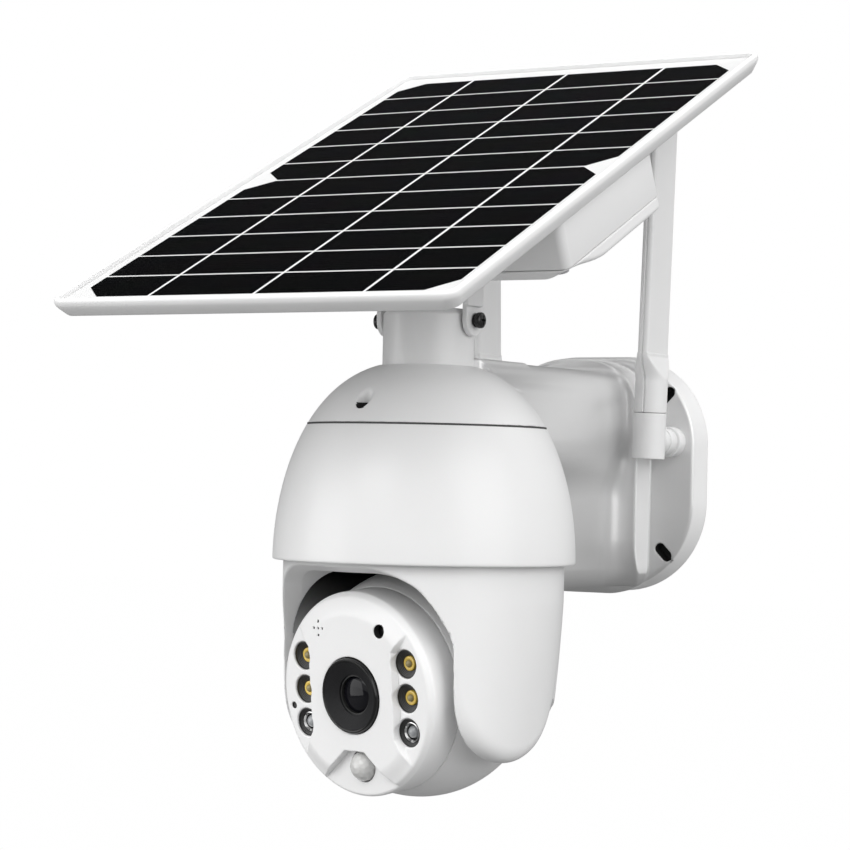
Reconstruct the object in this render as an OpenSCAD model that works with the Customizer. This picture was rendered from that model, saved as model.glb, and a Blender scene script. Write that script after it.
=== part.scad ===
// Wall-mounted solar security camera with a pan and tilt head.
// Origin: centre of the face that lies on the wall. +Z is up, the wall is the plane y = 0 and the camera stands out towards -y.

/* [Wall bracket] */
// Width and height of the wall plate
plate_w = 100; // [94:1:110]
// Corner radius of the wall plate
plate_r = 38; // [34:1:38]
// Depth of the wall plate
plate_t = 12.5; // [11:0.5:14]
// Half width of the slot that takes a wall screw
slot_r = 2.3; // [2:0.05:2.6]
// End-to-end length of a wall screw slot
slot_len = 8.8; // [8:0.1:10]
// Slot centre from the plate centre, sideways
slot_x = 35.6; // [33:0.1:35.6]
// Slot centre from the plate centre, up and down
slot_z = 32.8; // [31:0.1:33.5]
// Half width of the arm's root flange
root_w = 28.7; // [27:0.1:29]

/* [Dome housing] */
// Distance from the wall to the dome's upright axis
dome_d = 148.1; // [146:0.1:152]
// Radius of the dome's lower rim
dome_r = 58; // [57:0.5:59]
// Height of the dome's lower rim
dome_bot = -36; // [-36:0.5:-35]
// Height of the seam between cap and shroud
seam_z = 15.8; // [14:0.2:17]
// Wall thickness of the dome
dome_wall = 2.5; // [2:0.1:3]
// Radius of the upright neck tube
neck_r = 17.6; // [17:0.1:18]

/* [Pan housing] */
// Outer radius of the pan housing
yoke_r = 53.8; // [53:0.1:54]
// Half width of the opening that holds the camera ball
gap_w = 43.7; // [43.5:0.1:44]
// Height of the top of the front opening
arch_z = -39.5; // [-40:0.1:-39]
// Angle of the pan housing at rest, from straight ahead
pan_rest = -11.8; // [-11.8:0.1:-11.8]

/* [Camera ball] */
// Height of the tilt axis
tilt_z = -81.5; // [-82:0.1:-81]
// Radius of the camera ball
ball_r = 44; // [43.8:0.1:44]
// Angle of the ball below level at rest
tilt_rest = 6.2; // [6.2:0.1:6.2]
// Radius of the front face
face_r = 38.6; // [38:0.1:38.6]
// Distance of the front face from the tilt axis
face_q = 36.2; // [36:0.1:36.5]
// Height of the raised middle of the face
face_step = 2.45; // [2:0.05:2.6]

/* [Solar panel] */
// Angle of the panel from level at rest
panel_tilt = 25.5; // [24:0.5:28]
// Width of the panel frame
panel_w = 169; // [165:1:172]
// Length of the panel frame
panel_l = 268.8; // [264:0.2:270]
// Height of the hinge axis
pivot_z = 56.3; // [56:0.1:57]
// Distance from the hinge axis up to the cells
cell_h = 53.8; // [53:0.1:55]

/* [Antennas] */
// Sideways distance of each antenna's connector
ant_x = 38.7; // [38:0.1:40]
// Height of each antenna's connector
ant_z = 13.5; // [13:0.5:15]
// Lean of each antenna at rest, outwards
ant_lean = 1.5; // [1:0.5:3]
// Height of the top of the antenna blades
ant_top = 146; // [140:1:146]

/* [Gears] */
// Gear module
gear_m = 1; // [1:0.1:1]
// Teeth on the pan gear
pan_teeth = 60; // [60:12:60]
// Teeth on the tilt gear
tilt_teeth = 24; // [24:12:24]
// Teeth on each motor pinion
pinion_teeth = 12; // [12:1:12]

/* [Hidden] */
e = 0.01;
white = [0.93, 0.93, 0.92];
dome_h = 77;
dome_a = 2.6;
dome_b = 1.98;
// where the arm's screws cross the dome, sideways and up
arm_screw_at = [[-22, 0], [22, 0], [0, 4]];

// radius of the dome's outside at height z
function dome_rad(z) = let(t = max(0, min(0.9999, (z - dome_bot) / dome_h))) dome_r * pow(1 - pow(t, dome_b), 1 / dome_a);
// points of the dome's outside, set inwards by d, between two heights
function dome_line(z0, z1, d, n) = [for (i = [0 : n]) let(z = z0 + (z1 - z0) * i / n) [dome_rad(z) - d, z]];
function rev(p) = [for (i = [len(p) - 1 : -1 : 0]) p[i]];

module at_dome() { translate([0, -dome_d, 0]) children(); }
module at_pan() { at_dome() rotate([0, 0, pan_rest]) children(); }
module at_ball() { at_pan() translate([0, 0, tilt_z]) rotate([tilt_rest, 0, 0]) children(); }
module at_panel() { translate([0, -dome_d, pivot_z]) rotate([panel_tilt, 0, 0]) children(); }
// puts a shape that points along +z on the ball's face, at x, y and distance q from the tilt axis
module on_face(x, y, q) { translate([x, -q, y]) rotate([90, 0, 0]) children(); }
module tube(ro, ri, h, fn = 96) { difference() { cylinder(r = ro, h = h, $fn = fn); translate([0, 0, -1]) cylinder(r = ri, h = h + 2, $fn = fn); } }
// flat rounded rectangle
module rrect(w, l, r) {
  square([w - 2 * r, l], center = true);
  square([w, l - 2 * r], center = true);
  for (x = [-1, 1], y = [-1, 1]) translate([x * (w / 2 - r), y * (l / 2 - r)]) circle(r = r, $fn = 48);
}
// spur gear outline with straight-sided teeth and running clearance
module gear2d(teeth, m) {
  rp = teeth * m / 2;
  w = 360 / teeth;
  polygon([for (i = [0 : teeth - 1], p = [[-0.34, -1.25], [-0.20, 0], [-0.10, 0.85], [0.10, 0.85], [0.20, 0], [0.34, -1.25]])
    (rp + p[1] * m) * [cos((i + p[0]) * w), sin((i + p[0]) * w)]]);
}
module screw(r_head, h_head, r_shank, l) {
  difference() {
    union() {
      cylinder(r = r_head, h = h_head * 0.55, $fn = 32);
      translate([0, 0, h_head * 0.55 - e]) intersection() {
        translate([0, 0, h_head * 0.45 - r_head * 1.2]) sphere(r = r_head * 1.2, $fn = 32);
        cylinder(r = r_head, h = r_head * 1.2, $fn = 32);
      }
    }
    for (a = [0, 90]) rotate([0, 0, a]) translate([-r_head * 0.6, -0.35, h_head * 0.5]) cube([r_head * 1.2, 0.7, h_head]);
  }
  translate([0, 0, -l]) cylinder(r = r_shank, h = l + e, $fn = 32);
}

// ---------- wall bracket ----------
// outline of the arm at one station, as [half width, height] points from the top down
module arm_slab(y, pts) {
  translate([0, y, 0]) rotate([90, 0, 0]) linear_extrude(0.5)
    polygon(concat(pts, [for (i = [len(pts) - 1 : -1 : 0]) [-pts[i][0], pts[i][1]]]));
}
arm_dome = [[12, 43.3], [16, 42.4], [27.2, 35], [31.8, 32], [36, 27.5], [39.6, 22.3], [43, 16], [42.5, 6], [38, 0], [28, -6]];
arm_waist = [[15, 43.3], [19, 41.8], [22, 38], [23.7, 32], [24, 24], [23.5, 12], [21, 4], [17, -1], [10, -4]];
root_low = [[18, 44.5], [24, 41], [27.5, 34], [28.2, 20], [28.2, -34], [22, -43], [14, -47]];
rib_wall = [[18, 44], [22, 40], [23.7, 32], [24, 20], [20, 0], [18, -20], [17, -40], [13, -46]];
module root_outline() {
  intersection() {
    union() {
      translate([-root_w, -40]) square([2 * root_w, 60]);
      for (x = [-1, 1]) translate([x * (root_w - 24), 21.5]) circle(r = 24, $fn = 64);
      translate([-root_w + 24, 20]) square([2 * root_w - 48, 25.5]);
      translate([0, -26]) circle(r = 35, $fn = 96);
    }
    translate([-root_w, -48]) square([2 * root_w, 96]);
  }
}
module dome_envelope(d) {
  at_dome() rotate_extrude($fn = 120) polygon(concat([[0, dome_bot - 0.05]], dome_line(dome_bot, seam_z - 0.2, -d, 24), dome_line(seam_z + 0.2, 39.1, -d, 22), [[0, 39.1]]));
}
module wall_bracket() {
  color(white) difference() {
    union() {
      rotate([90, 0, 0]) linear_extrude(plate_t) rrect(plate_w, plate_w, plate_r);
      rotate([90, 0, 0]) linear_extrude(24) root_outline();
      hull() { arm_slab(-36, rib_wall); arm_slab(-23.4, root_low); }
      hull() { arm_slab(-36, arm_waist); arm_slab(-137, arm_dome); }
      hull() { arm_slab(-36, [[17, 2], [18, -20], [17, -40], [13, -46]]); arm_slab(-88, [[21, 6], [20, -20], [17, -38], [12, -42]]); }
      // flat saddle that runs from the arm to the neck
      translate([0, -dome_d, 30]) intersection() {
        translate([-14, 0, 0]) cube([28, 30, 13.3]);
        cylinder(r = 30, h = 13.3, $fn = 64);
      }
    }
    // inside the dome, and the neck's socket
    dome_envelope(0.05);
    at_dome() cylinder(r = neck_r + 0.05, h = 60, $fn = 96);
    // hollow at the back of the plate, and the way for the wires
    translate([0, 1, 0]) rotate([90, 0, 0]) linear_extrude(9) difference() {
      rrect(plate_w - 8, plate_w - 8, plate_r - 4);
      for (x = [-1, 1], z = [-1, 1]) translate([x * slot_x, z * slot_z]) circle(r = 8.5, $fn = 48);
    }
    translate([0, 1, 20]) rotate([90, 0, 0]) cylinder(r = 12, h = 150, $fn = 48);
    // slots for the wall screws, each along its diagonal
    for (x = [-1, 1], z = [-1, 1]) translate([x * slot_x, 1, z * slot_z]) rotate([90, 0, 0]) rotate([0, 0, x * z * 45]) {
      for (s = [-1, 1]) translate([s * (slot_len / 2 - slot_r), 0, 0]) cylinder(r = slot_r, h = 20, $fn = 32);
      translate([-(slot_len / 2 - slot_r), -slot_r, 0]) cube([slot_len - 2 * slot_r, 2 * slot_r, 20]);
    }
    for (x = [-1, 1]) translate([x * ant_x, 1, ant_z]) rotate([90, 0, 0]) cylinder(r = 3.3, h = 20, $fn = 32);
    // screws that hold the arm to the dome
    for (p = arm_screw_at) translate([p[0], -70, p[1]]) rotate([90, 0, 0]) cylinder(r = 1.5, h = 60, $fn = 24);
  }
}
module bracket_back_cover() {
  color([0.8, 0.8, 0.8]) difference() {
    translate([0, 0, 0]) rotate([90, 0, 0]) linear_extrude(2) difference() {
      rrect(plate_w - 8.6, plate_w - 8.6, plate_r - 4.3);
      for (x = [-1, 1], z = [-1, 1]) translate([x * slot_x, z * slot_z]) circle(r = 8.8, $fn = 48);
    }
  }
}
// y of the dome's rear surface at sideways distance x and height z
function dome_back(x, z) = -dome_d + sqrt(pow(dome_rad(z), 2) - x * x);
module arm_screws() {
  color("silver") for (p = arm_screw_at) translate([p[0], dome_back(p[0], p[1]) - 5, p[1]]) rotate([-90, 0, 0]) {
    cylinder(r = 1.4, h = 14, $fn = 24);
    translate([0, 0, -2.4]) cylinder(r = 3, h = 2.4, $fn = 32);
  }
}

// ---------- dome ----------
module housing_cap() {
  color(white) at_dome() difference() {
    union() {
      rotate_extrude($fn = 120) polygon(concat(dome_line(seam_z + 0.2, 39.1, 0, 22), [[neck_r + 0.1, 39.1], [neck_r + 0.1, 36.4]],
        rev([for (i = [0 : 18]) let(z = seam_z + 0.2 + (36.4 - seam_z - 0.2) * i / 18) [dome_rad(z + 1.6) - dome_wall, z]])));
      // lip that drops inside the shroud
      rotate_extrude($fn = 120) polygon([[dome_rad(seam_z) - 5, seam_z + 1.5], [dome_rad(seam_z) - 5, seam_z - 4],
        [dome_rad(seam_z) - 3.1, seam_z - 4], [dome_rad(seam_z) - 3.1, seam_z + 1.5]]);
      // well of the front screw
      intersection() {
        translate([-4, -38.6, 12]) cylinder(r = 5, h = 40, $fn = 48);
        rotate_extrude($fn = 120) polygon(concat([[0, 12]], dome_line(12, 39.8, 0.2, 20), [[0, 39.8]]));
        cylinder(r = 42.5, h = 60, $fn = 96);
      }
    }
    translate([-4, -38.6, 19]) cylinder(r = 3.1, h = 30, $fn = 48);
    translate([-4, -38.6, 0]) cylinder(r = 1.4, h = 30, $fn = 32);
    translate([0, 0, 20]) rotate([-90, 0, 0]) cylinder(r = 12.1, h = 80, $fn = 48);
  }
}
module cap_screw() {
  color("dimgray") at_dome() translate([-4, -38.6, 19.05]) screw(2.8, 2.2, 1.3, 12);
}
module housing_shroud() {
  color(white) at_dome() difference() {
    union() {
      rotate_extrude($fn = 120) polygon(concat(dome_line(dome_bot, seam_z - 0.2, 0, 24), rev(dome_line(dome_bot, seam_z - 0.2, dome_wall, 24))));
      // ledge for the floor
      rotate_extrude($fn = 120) polygon([[50.2, -23.5], [dome_rad(-21) - dome_wall + 0.6, -23.5], [dome_rad(-20.1) - dome_wall + 0.6, -20.1], [50.2, -20.1]]);
      // post for the cap screw
      intersection() {
        translate([-4, -38.6, -16.9]) cylinder(r = 3.2, h = 28.6, $fn = 32);
        cylinder(r = 60, h = 100, center = true);
      }
      translate([-6, -49.5, -16.9]) cube([4, 9.5, 24]);
    }
    translate([-4, -38.6, 4]) cylinder(r = 1.4, h = 30, $fn = 32);
    translate([0, 0, 20]) rotate([-90, 0, 0]) cylinder(r = 12.1, h = 80, $fn = 48);
    for (p = arm_screw_at) translate([p[0], 0, p[1]]) rotate([-90, 0, 0]) cylinder(r = 1.6, h = 80, $fn = 24);
  }
}
module seam_seal() {
  color([0.2, 0.2, 0.2]) at_dome() difference() {
    translate([0, 0, seam_z - 0.2]) tube(dome_rad(seam_z) - 0.5, dome_rad(seam_z) - 3.0, 0.4, 120);
    translate([0, 20, 20]) rotate([-90, 0, 0]) cylinder(r = 12.1, h = 40, $fn = 48);
  }
}
module neck_tube() {
  color(white) at_dome() difference() {
    union() {
      translate([0, 0, 34]) cylinder(r = neck_r, h = 24.6, $fn = 96);
      translate([0, 0, 58.6 - e]) cylinder(r1 = neck_r, r2 = neck_r - 2, h = 2.2, $fn = 96);
      translate([0, 0, 33]) cylinder(r = 20, h = 2.4, $fn = 96);
    }
    translate([0, 0, 32]) cylinder(r = neck_r - 3, h = 17, $fn = 96);
    translate([0, 0, 32]) cylinder(r = 6, h = 40, $fn = 48);
    for (s = [-1, 1]) translate([0, 0, pivot_z]) rotate([0, s * 90, 0]) translate([0, 0, 8.3]) cylinder(r = 2, h = 20, $fn = 32);
  }
}
module neck_grommet() {
  color([0.15, 0.15, 0.15]) at_dome() translate([0, 0, 56.5]) { tube(6, 4, 4.3, 48); translate([0, 0, 4.3]) tube(7.5, 4, 1.2, 48); }
}
module hinge_screws() {
  color([0.1, 0.1, 0.1]) for (s = [-1, 1]) translate([0, -dome_d, pivot_z]) rotate([0, s * 90, 0]) translate([0, 0, 21.9]) screw(3.05, 2.4, 2, 13.4);
}
module hinge_washers() {
  color([0.1, 0.1, 0.1]) for (s = [-1, 1]) translate([0, -dome_d, pivot_z]) rotate([0, s * 90, 0]) translate([0, 0, 20.5]) tube(2.75, 2, 1.4, 48);
}
module housing_floor() {
  color([0.85, 0.85, 0.85]) at_dome() difference() {
    union() {
      translate([0, 0, -20]) cylinder(r = 53.4, h = 3, $fn = 120);
      for (a = [45, 135, 225, 315]) rotate([0, 0, a]) translate([38, 0, -17 - e]) cylinder(r = 3, h = 23, $fn = 32);
    }
    translate([0, 0, -25]) cylinder(r = 14.5, h = 20, $fn = 96);
    translate([0, 36, -25]) cylinder(r = 4, h = 20, $fn = 48);
    for (a = [0 : 60 : 300]) translate([-34 + 6 * cos(a), 6 * sin(a), -25]) cylinder(r = 1.5, h = 20, $fn = 24);
    translate([-34, 0, -25]) cylinder(r = 1.5, h = 20, $fn = 24);
    for (a = [45, 135, 225, 315]) rotate([0, 0, a]) translate([38, 0, -5]) cylinder(r = 1, h = 20, $fn = 24);
  }
}
module pan_bearing() {
  color("goldenrod") at_dome() { translate([0, 0, -20.6]) tube(14.5, 12.06, 4, 96); translate([0, 0, -20.6]) tube(16, 12.06, 0.6 - e, 96); }
}
module pan_motor() {
  color("silver") at_dome() translate([0, 36, -17]) difference() {
    union() { cylinder(r = 12.5, h = 17, $fn = 64); translate([0, 0, -11.5]) cylinder(r = 1.5, h = 12, $fn = 32); }
    translate([0, 0, 16]) cylinder(r = 9, h = 2, $fn = 48);
  }
}
module pan_pinion() {
  color("ivory") at_dome() translate([0, 36 * gear_m, -29]) difference() {
    linear_extrude(5.3) rotate([0, 0, -90 + 180 / pinion_teeth]) gear2d(pinion_teeth, gear_m);
    translate([0, 0, -1]) cylinder(r = 1.56, h = 8, $fn = 32);
  }
}
module speaker() {
  color([0.15, 0.15, 0.15]) at_dome() translate([-34, 0, -17]) {
    cylinder(r = 11, h = 4, $fn = 64); translate([0, 0, 4 - e]) cylinder(r = 7, h = 3, $fn = 64);
  }
}
module main_board() {
  color([0.05, 0.35, 0.2]) at_dome() difference() {
    union() {
      translate([0, 0, 6]) cylinder(r = 41, h = 1.6, $fn = 96);
      translate([8, -18, 7.6 - e]) cube([14, 14, 1.4]);
      translate([-8, -30, 7.6 - e]) cube([10, 8, 5]);
      translate([22, 4, 7.6 - e]) cube([8, 14, 6]);
    }
    translate([0, 0, 0]) cylinder(r = 7, h = 20, $fn = 48);
    translate([-4, -40, 0]) cylinder(r = 6.4, h = 20, $fn = 48);
    for (a = [45, 135, 225, 315]) rotate([0, 0, a]) translate([38, 0, 0]) cylinder(r = 1.2, h = 20, $fn = 24);
  }
}
module radio_module() { color("silver") at_dome() translate([-32, -6, 7.6]) cube([20, 24, 2.6]); }

// ---------- pan housing ----------
// outside radius of the pan housing at height z
function yoke_rad(z) = let(d = max(0, -50 - z)) yoke_r - 0.02 * d - 0.0004 * d * d;
// room inside the pan housing: thick wall in front, thin wall behind, set inwards by d
module pan_room(d, z, h) {
  translate([0, 0, z]) intersection() {
    cylinder(r = yoke_r - 3.2 - d, h = h, $fn = 120);
    translate([-gap_w + d, -26.2 + d, 0]) cube([2 * (gap_w - d), 90, h]);
  }
}
module arch2d() {
  r = 29;
  union() {
    translate([-gap_w, -140]) square([2 * gap_w, 140 + arch_z - r]);
    translate([-gap_w + r, -140]) square([2 * gap_w - 2 * r, 140 + arch_z]);
    for (x = [-1, 1]) translate([x * (gap_w - r), arch_z - r]) circle(r = r, $fn = 96);
  }
}
module pan_housing() {
  color(white) at_pan() difference() {
    intersection() {
      rotate_extrude($fn = 120) polygon(concat([for (i = [0 : 24]) let(z = -50 - 64 * i / 24) [yoke_rad(z), z]], [[0, -114], [0, -31.5], [yoke_r, -31.5]]));
      // the cheeks' outer edges are rounded off about the tilt axis
      union() {
        translate([-60, -60, -75.7]) cube([120, 120, 60]);
        translate([-60, 0, -92]) cube([120, 60, 20]);
        translate([0, -1.7, -75.7]) sphere(r = 58, $fn = 120);
      }
      // side outline: full height, then a round lobe
      rotate([90, 0, 90]) linear_extrude(120, center = true) union() {
        translate([-60, -75.7]) square([120, 60]);
        translate([0, -92]) square([60, 20]);
        translate([-1.7, -75.7]) circle(r = 33.35, $fn = 120);
      }
    }
    // room for the ball between the flat cheeks
    pan_room(0, -130, 140);
    // front opening
    rotate([90, 0, 0]) linear_extrude(70) arch2d();
    // open below the rear wall
    translate([-gap_w, -60, -140]) cube([2 * gap_w, 120, 48]);
    // bores for the two shafts
    translate([0, 0, tilt_z]) rotate([0, 90, 0]) cylinder(r = 5, h = 96, center = true, $fn = 64);
    // grille at the back
    for (x = [-2 : 2], z = [-2 : 2]) translate([x * 3.2, 30, -62 + z * 3.2]) rotate([-90, 0, 0]) cylinder(r = 0.8, h = 30, $fn = 16);
  }
}
module pan_top_plate() {
  color([0.1, 0.1, 0.1]) at_pan() difference() {
    union() {
      pan_room(0.1, -34.5, 3);
      translate([0, 0, -31.5 - e]) cylinder(r = 12, h = 17.5, $fn = 96);
    }
    translate([0, 0, -40]) cylinder(r = 8, h = 40, $fn = 64);
  }
}
module pan_gear() {
  color("ivory") at_dome() translate([0, 0, -29]) difference() {
    linear_extrude(5) rotate([0, 0, 0]) gear2d(pan_teeth, gear_m);
    translate([0, 0, -1]) cylinder(r = 12.02, h = 8, $fn = 96);
    for (a = [0 : 60 : 300]) rotate([0, 0, a + 30]) translate([20, 0, -1]) cylinder(r = 4.5, h = 8, $fn = 48);
  }
}
module pan_retainer() { color("silver") at_dome() translate([0, 0, -16.3]) tube(15.5, 12.02, 2.2, 96); }
module tilt_gear_shaft() {
  color("ivory") at_pan() translate([0, 0, tilt_z]) rotate([0, 90, 0]) difference() {
    union() {
      translate([0, 0, 27]) cylinder(r = 5, h = 20.5, $fn = 64);
      translate([0, 0, 28]) linear_extrude(4) gear2d(tilt_teeth, gear_m);
    }
    translate([0, 0, 20]) cylinder(r = 2.5, h = 40, $fn = 48);
  }
}
module tilt_stub_shaft() {
  color("ivory") at_pan() translate([0, 0, tilt_z]) rotate([0, -90, 0]) difference() {
    union() { translate([0, 0, 36]) cylinder(r = 5, h = 11.5, $fn = 64); translate([0, 0, 36]) cylinder(r = 7, h = 1.5, $fn = 64); }
    translate([0, 0, 20]) cylinder(r = 3, h = 40, $fn = 48);
  }
}

// ---------- camera ball ----------
module ball_rear_shell() {
  color(white) at_ball() difference() {
    union() {
      intersection() {
        difference() { sphere(r = ball_r, $fn = 120); sphere(r = ball_r - 2.5, $fn = 120); }
        translate([-42.9, -20.8, -50]) cube([85.8, 80, 100]);
      }
      for (s = [-1, 1]) rotate([0, s * 90, 0]) intersection() {
        translate([0, 0, 38.2]) cylinder(r = 10, h = 4.7, $fn = 64);
        sphere(r = ball_r - 0.5, $fn = 96);
      }
    }
    rotate([0, 90, 0]) cylinder(r = 7.5, h = 100, center = true, $fn = 64);
  }
}
led_x = 26.3;
led_y = [13.1, 0.4, -12.3];
module ball_front_cover() {
  color(white) at_ball() difference() {
    union() {
      on_face(0, 0, 20.9) tube(face_r, face_r - 2.5, face_q - 20.9, 120);
      on_face(0, 0, face_q - 2.5) cylinder(r = face_r, h = 2.5, $fn = 120);
      intersection() {
        on_face(0, 0, face_q - e) linear_extrude(face_step) polygon([[-38, 40], [38, 40], [30, 27.5], [21.5, 17.3], [21.5, -15.1], [28, -25.4],
          [30, -40], [-30, -40], [-28, -25.4], [-21.5, -15.1], [-21.5, 17.3], [-30, 27.5]]);
        on_face(0, 0, face_q - 1) cylinder(r = face_r - 0.4, h = 8, $fn = 120);
      }
    }
    // lens, lamps, motion sensor, microphone and light sensor openings
    on_face(0, 0, 20) cylinder(r = 14.6, h = 30, $fn = 96);
    for (s = [-1, 1], y = led_y) on_face(s * led_x, y, 20) cylinder(r = 5.4, h = 30, $fn = 64);
    on_face(0, 0, face_q - 1.2) linear_extrude(6.2) polygon([[-5, -21], [5, -21], [20, -35], [20, -45], [-20, -45], [-20, -35]]);
    on_face(1, -27, 20) cylinder(r = 6, h = 30, $fn = 64);
    for (p = [[0, 0], [0, 2.6], [0, -2.6], [2.2, 0], [-2.2, 0]]) on_face(-15.5 + p[0], 24.5 + p[1], 20) cylinder(r = 0.45, h = 30, $fn = 16);
    on_face(15.8, 24.8, 20) cylinder(r = 2.5, h = 30, $fn = 48);
    on_face(-33, -6.3, 20) cylinder(r = 1.3, h = 30, $fn = 32);
  }
}
module tilt_bushes() {
  color("goldenrod") at_ball() for (s = [-1, 1]) rotate([0, s * 90, 0]) translate([0, 0, 38.2]) tube(7.5, 5.06, 4.9, 64);
}
module tilt_motor() {
  color("silver") at_ball() translate([0, 18 * gear_m, 0]) rotate([0, 90, 0]) {
    translate([0, 0, 10]) cylinder(r = 9.5, h = 15, $fn = 64);
    translate([0, 0, 24]) cylinder(r = 1.5, h = 9, $fn = 32);
  }
}
module tilt_pinion() {
  color("ivory") at_ball() translate([0, 18 * gear_m, 0]) rotate([0, 90, 0]) translate([0, 0, 28]) difference() {
    linear_extrude(4) rotate([0, 0, -90 + 180 / pinion_teeth + tilt_rest * tilt_teeth / pinion_teeth]) gear2d(pinion_teeth, gear_m);
    translate([0, 0, -1]) cylinder(r = 1.56, h = 8, $fn = 32);
  }
}
module lens_ring() {
  color([0.06, 0.06, 0.06]) at_ball() on_face(0, 0, 33.4) rotate_extrude($fn = 96)
    polygon([[11.05, 0], [14.2, 0], [14.2, 5.8], [13.6, 6.6], [12.9, 6.6], [7.6, 3.6], [7.6, 3], [11.05, 3]]);
}
module lens_barrel() {
  color([0.12, 0.12, 0.12]) at_ball() on_face(0, 0, 18.1) difference() {
    union() { cylinder(r = 11, h = 18.2, $fn = 64); cylinder(r = 13, h = 4, $fn = 64); }
    translate([0, 0, -1]) cylinder(r = 7, h = 30, $fn = 64);
  }
}
module lens_glass() {
  color([0.1, 0.1, 0.15]) at_ball() intersection() {
    on_face(0, 0, 24.8) sphere(r = 12, $fn = 64);
    on_face(0, 0, 33) cylinder(r = 6.95, h = 8, $fn = 64);
  }
}
module image_sensor_board() {
  color([0.05, 0.35, 0.2]) at_ball() on_face(0, 0, 16.4) union() {
    translate([-13, -13, 0]) cube([26, 26, 1.6]);
    translate([-4, -4, 1.6 - e]) cube([8, 8, 1.2]);
  }
}
module led_board() {
  color([0.9, 0.9, 0.88]) at_ball() for (s = [-1, 1]) on_face(s * led_x, 0.4, 25.6) translate([s > 0 ? -6 : -3.7, -18, 0]) cube([9.7, 36, 1.4]);
}
module led_reflectors() {
  color([0.08, 0.08, 0.08]) at_ball() for (s = [-1, 1], y = led_y) on_face(s * led_x, y, 27) rotate_extrude($fn = 48)
    polygon([[2.9, 0], [5.3, 0], [5.3, 8.6], [5.0, 8.6], [2.9, 6.4]]);
}
module white_leds() {
  color([0.9, 0.8, 0.3]) at_ball() for (s = [-1, 1], y = [led_y[0], led_y[1]]) on_face(s * led_x, y, 27) {
    cylinder(r = 2.7, h = 7, $fn = 32);
    translate([0, 0, 7 - e]) intersection() { sphere(r = 1.6, $fn = 48); cylinder(r = 3, h = 3, $fn = 32); }
  }
}
module infrared_leds() {
  color([0.85, 0.87, 0.9]) at_ball() for (s = [-1, 1]) on_face(s * led_x, led_y[2], 27) {
    cylinder(r = 2.6, h = 1.2, $fn = 32);
    translate([0, 0, 1.2 - e]) { cylinder(r = 2.4, h = 4.4, $fn = 32); translate([0, 0, 4.4]) intersection() { sphere(r = 2.4, $fn = 48); cylinder(r = 3, h = 3, $fn = 32); } }
  }
}
module motion_lens() {
  color([0.93, 0.93, 0.9]) at_ball() on_face(1, -27, 32.6) difference() {
    union() { cylinder(r = 5.9, h = 1.2, $fn = 64); translate([0, 0, 1.2 - e]) intersection() { sphere(r = 5.9, $fn = 64); cylinder(r = 7, h = 7, $fn = 48); } }
    translate([0, 0, -e]) intersection() { translate([0, 0, 1.2]) sphere(r = 4.9, $fn = 64); cylinder(r = 7, h = 7.5, $fn = 48); }
    translate([0, 0, -1]) cylinder(r = 4.9, h = 2.2, $fn = 64);
  }
}
module motion_sensor() {
  color("silver") at_ball() on_face(1, -27, 27) { cylinder(r = 4.5, h = 4.5, $fn = 48); translate([-6, -4, -1.4]) cube([12, 8, 1.4 + e]); }
}
module microphone() { color([0.3, 0.3, 0.3]) at_ball() on_face(-15.5, 24.5, 30.2) cylinder(r = 3.4, h = 3.4, $fn = 48); }
module light_sensor() { color([0.1, 0.05, 0.05]) at_ball() on_face(15.8, 24.8, 30.5) { cylinder(r = 2.4, h = 5.4, $fn = 32); translate([0, 0, 0]) cylinder(r = 3.2, h = 3, $fn = 32); } }
module status_led() { color([0.2, 0.2, 0.2]) at_ball() on_face(-33, -6.3, 29) cylinder(r = 1.2, h = 6.4, $fn = 32); }

// ---------- solar panel ----------
pv0 = 20.5;
module slab(w, l, r, z, t) { translate([0, pv0, z]) linear_extrude(t) rrect(w, l, r); }
module panel_frame() {
  color(white) at_panel() difference() {
    hull() { slab(panel_w - 5, panel_l - 5, 5, cell_h - 6.3, 0.5); slab(panel_w, panel_l, 5, cell_h - 2.5, 2); slab(panel_w - 1.6, panel_l - 1.6, 4, cell_h + 1.1, 0.1); }
    slab(panel_w - 4, panel_l - 4, 3, cell_h - 1.5, 6);
    slab(panel_w - 14, panel_l - 14, 4, cell_h - 8, 4);
  }
}
module panel_backsheet() { color([0.9, 0.9, 0.9]) at_panel() slab(panel_w - 5, panel_l - 5, 3, cell_h - 1.5, 0.6); }
cell_rows = 12;
row_p = 21;
cell_hw = 78;
module solar_cells() {
  color([0.03, 0.03, 0.05]) at_panel() for (i = [0 : cell_rows - 1]) {
    j = i % 6;
    c = 9.4;
    translate([0, -106.6 + i * row_p, cell_h - 0.9]) linear_extrude(0.3) polygon([
      [-cell_hw + (j == 0 ? c : 0), 0.5], [cell_hw - (j == 0 ? c : 0), 0.5], [cell_hw, (j == 0 ? c : 0.5)],
      [cell_hw, row_p - (j == 5 ? c : 0.5)], [cell_hw - (j == 5 ? c : 0), row_p - 0.5], [-cell_hw + (j == 5 ? c : 0), row_p - 0.5],
      [-cell_hw, row_p - (j == 5 ? c : 0.5)], [-cell_hw, (j == 0 ? c : 0.5)]]);
  }
}
module cell_ribbons() {
  color("silver") at_panel() for (x = [-45.2, 0, 45.2]) translate([x - 0.7, -107.6, cell_h - 0.6]) cube([1.4, 254, 0.15]);
}
module panel_glass() { color([0.6, 0.7, 0.8, 0.3]) at_panel() slab(panel_w - 4.4, panel_l - 4.4, 3, cell_h - 0.4, 1); }
box_v0 = -22.5;
box_v1 = 58.5;
box_seam = 27.5;
module box_slab(w, d, r, z, t) { translate([0, (box_v0 + box_v1) / 2, z]) linear_extrude(t) rrect(w, d, r); }
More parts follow.
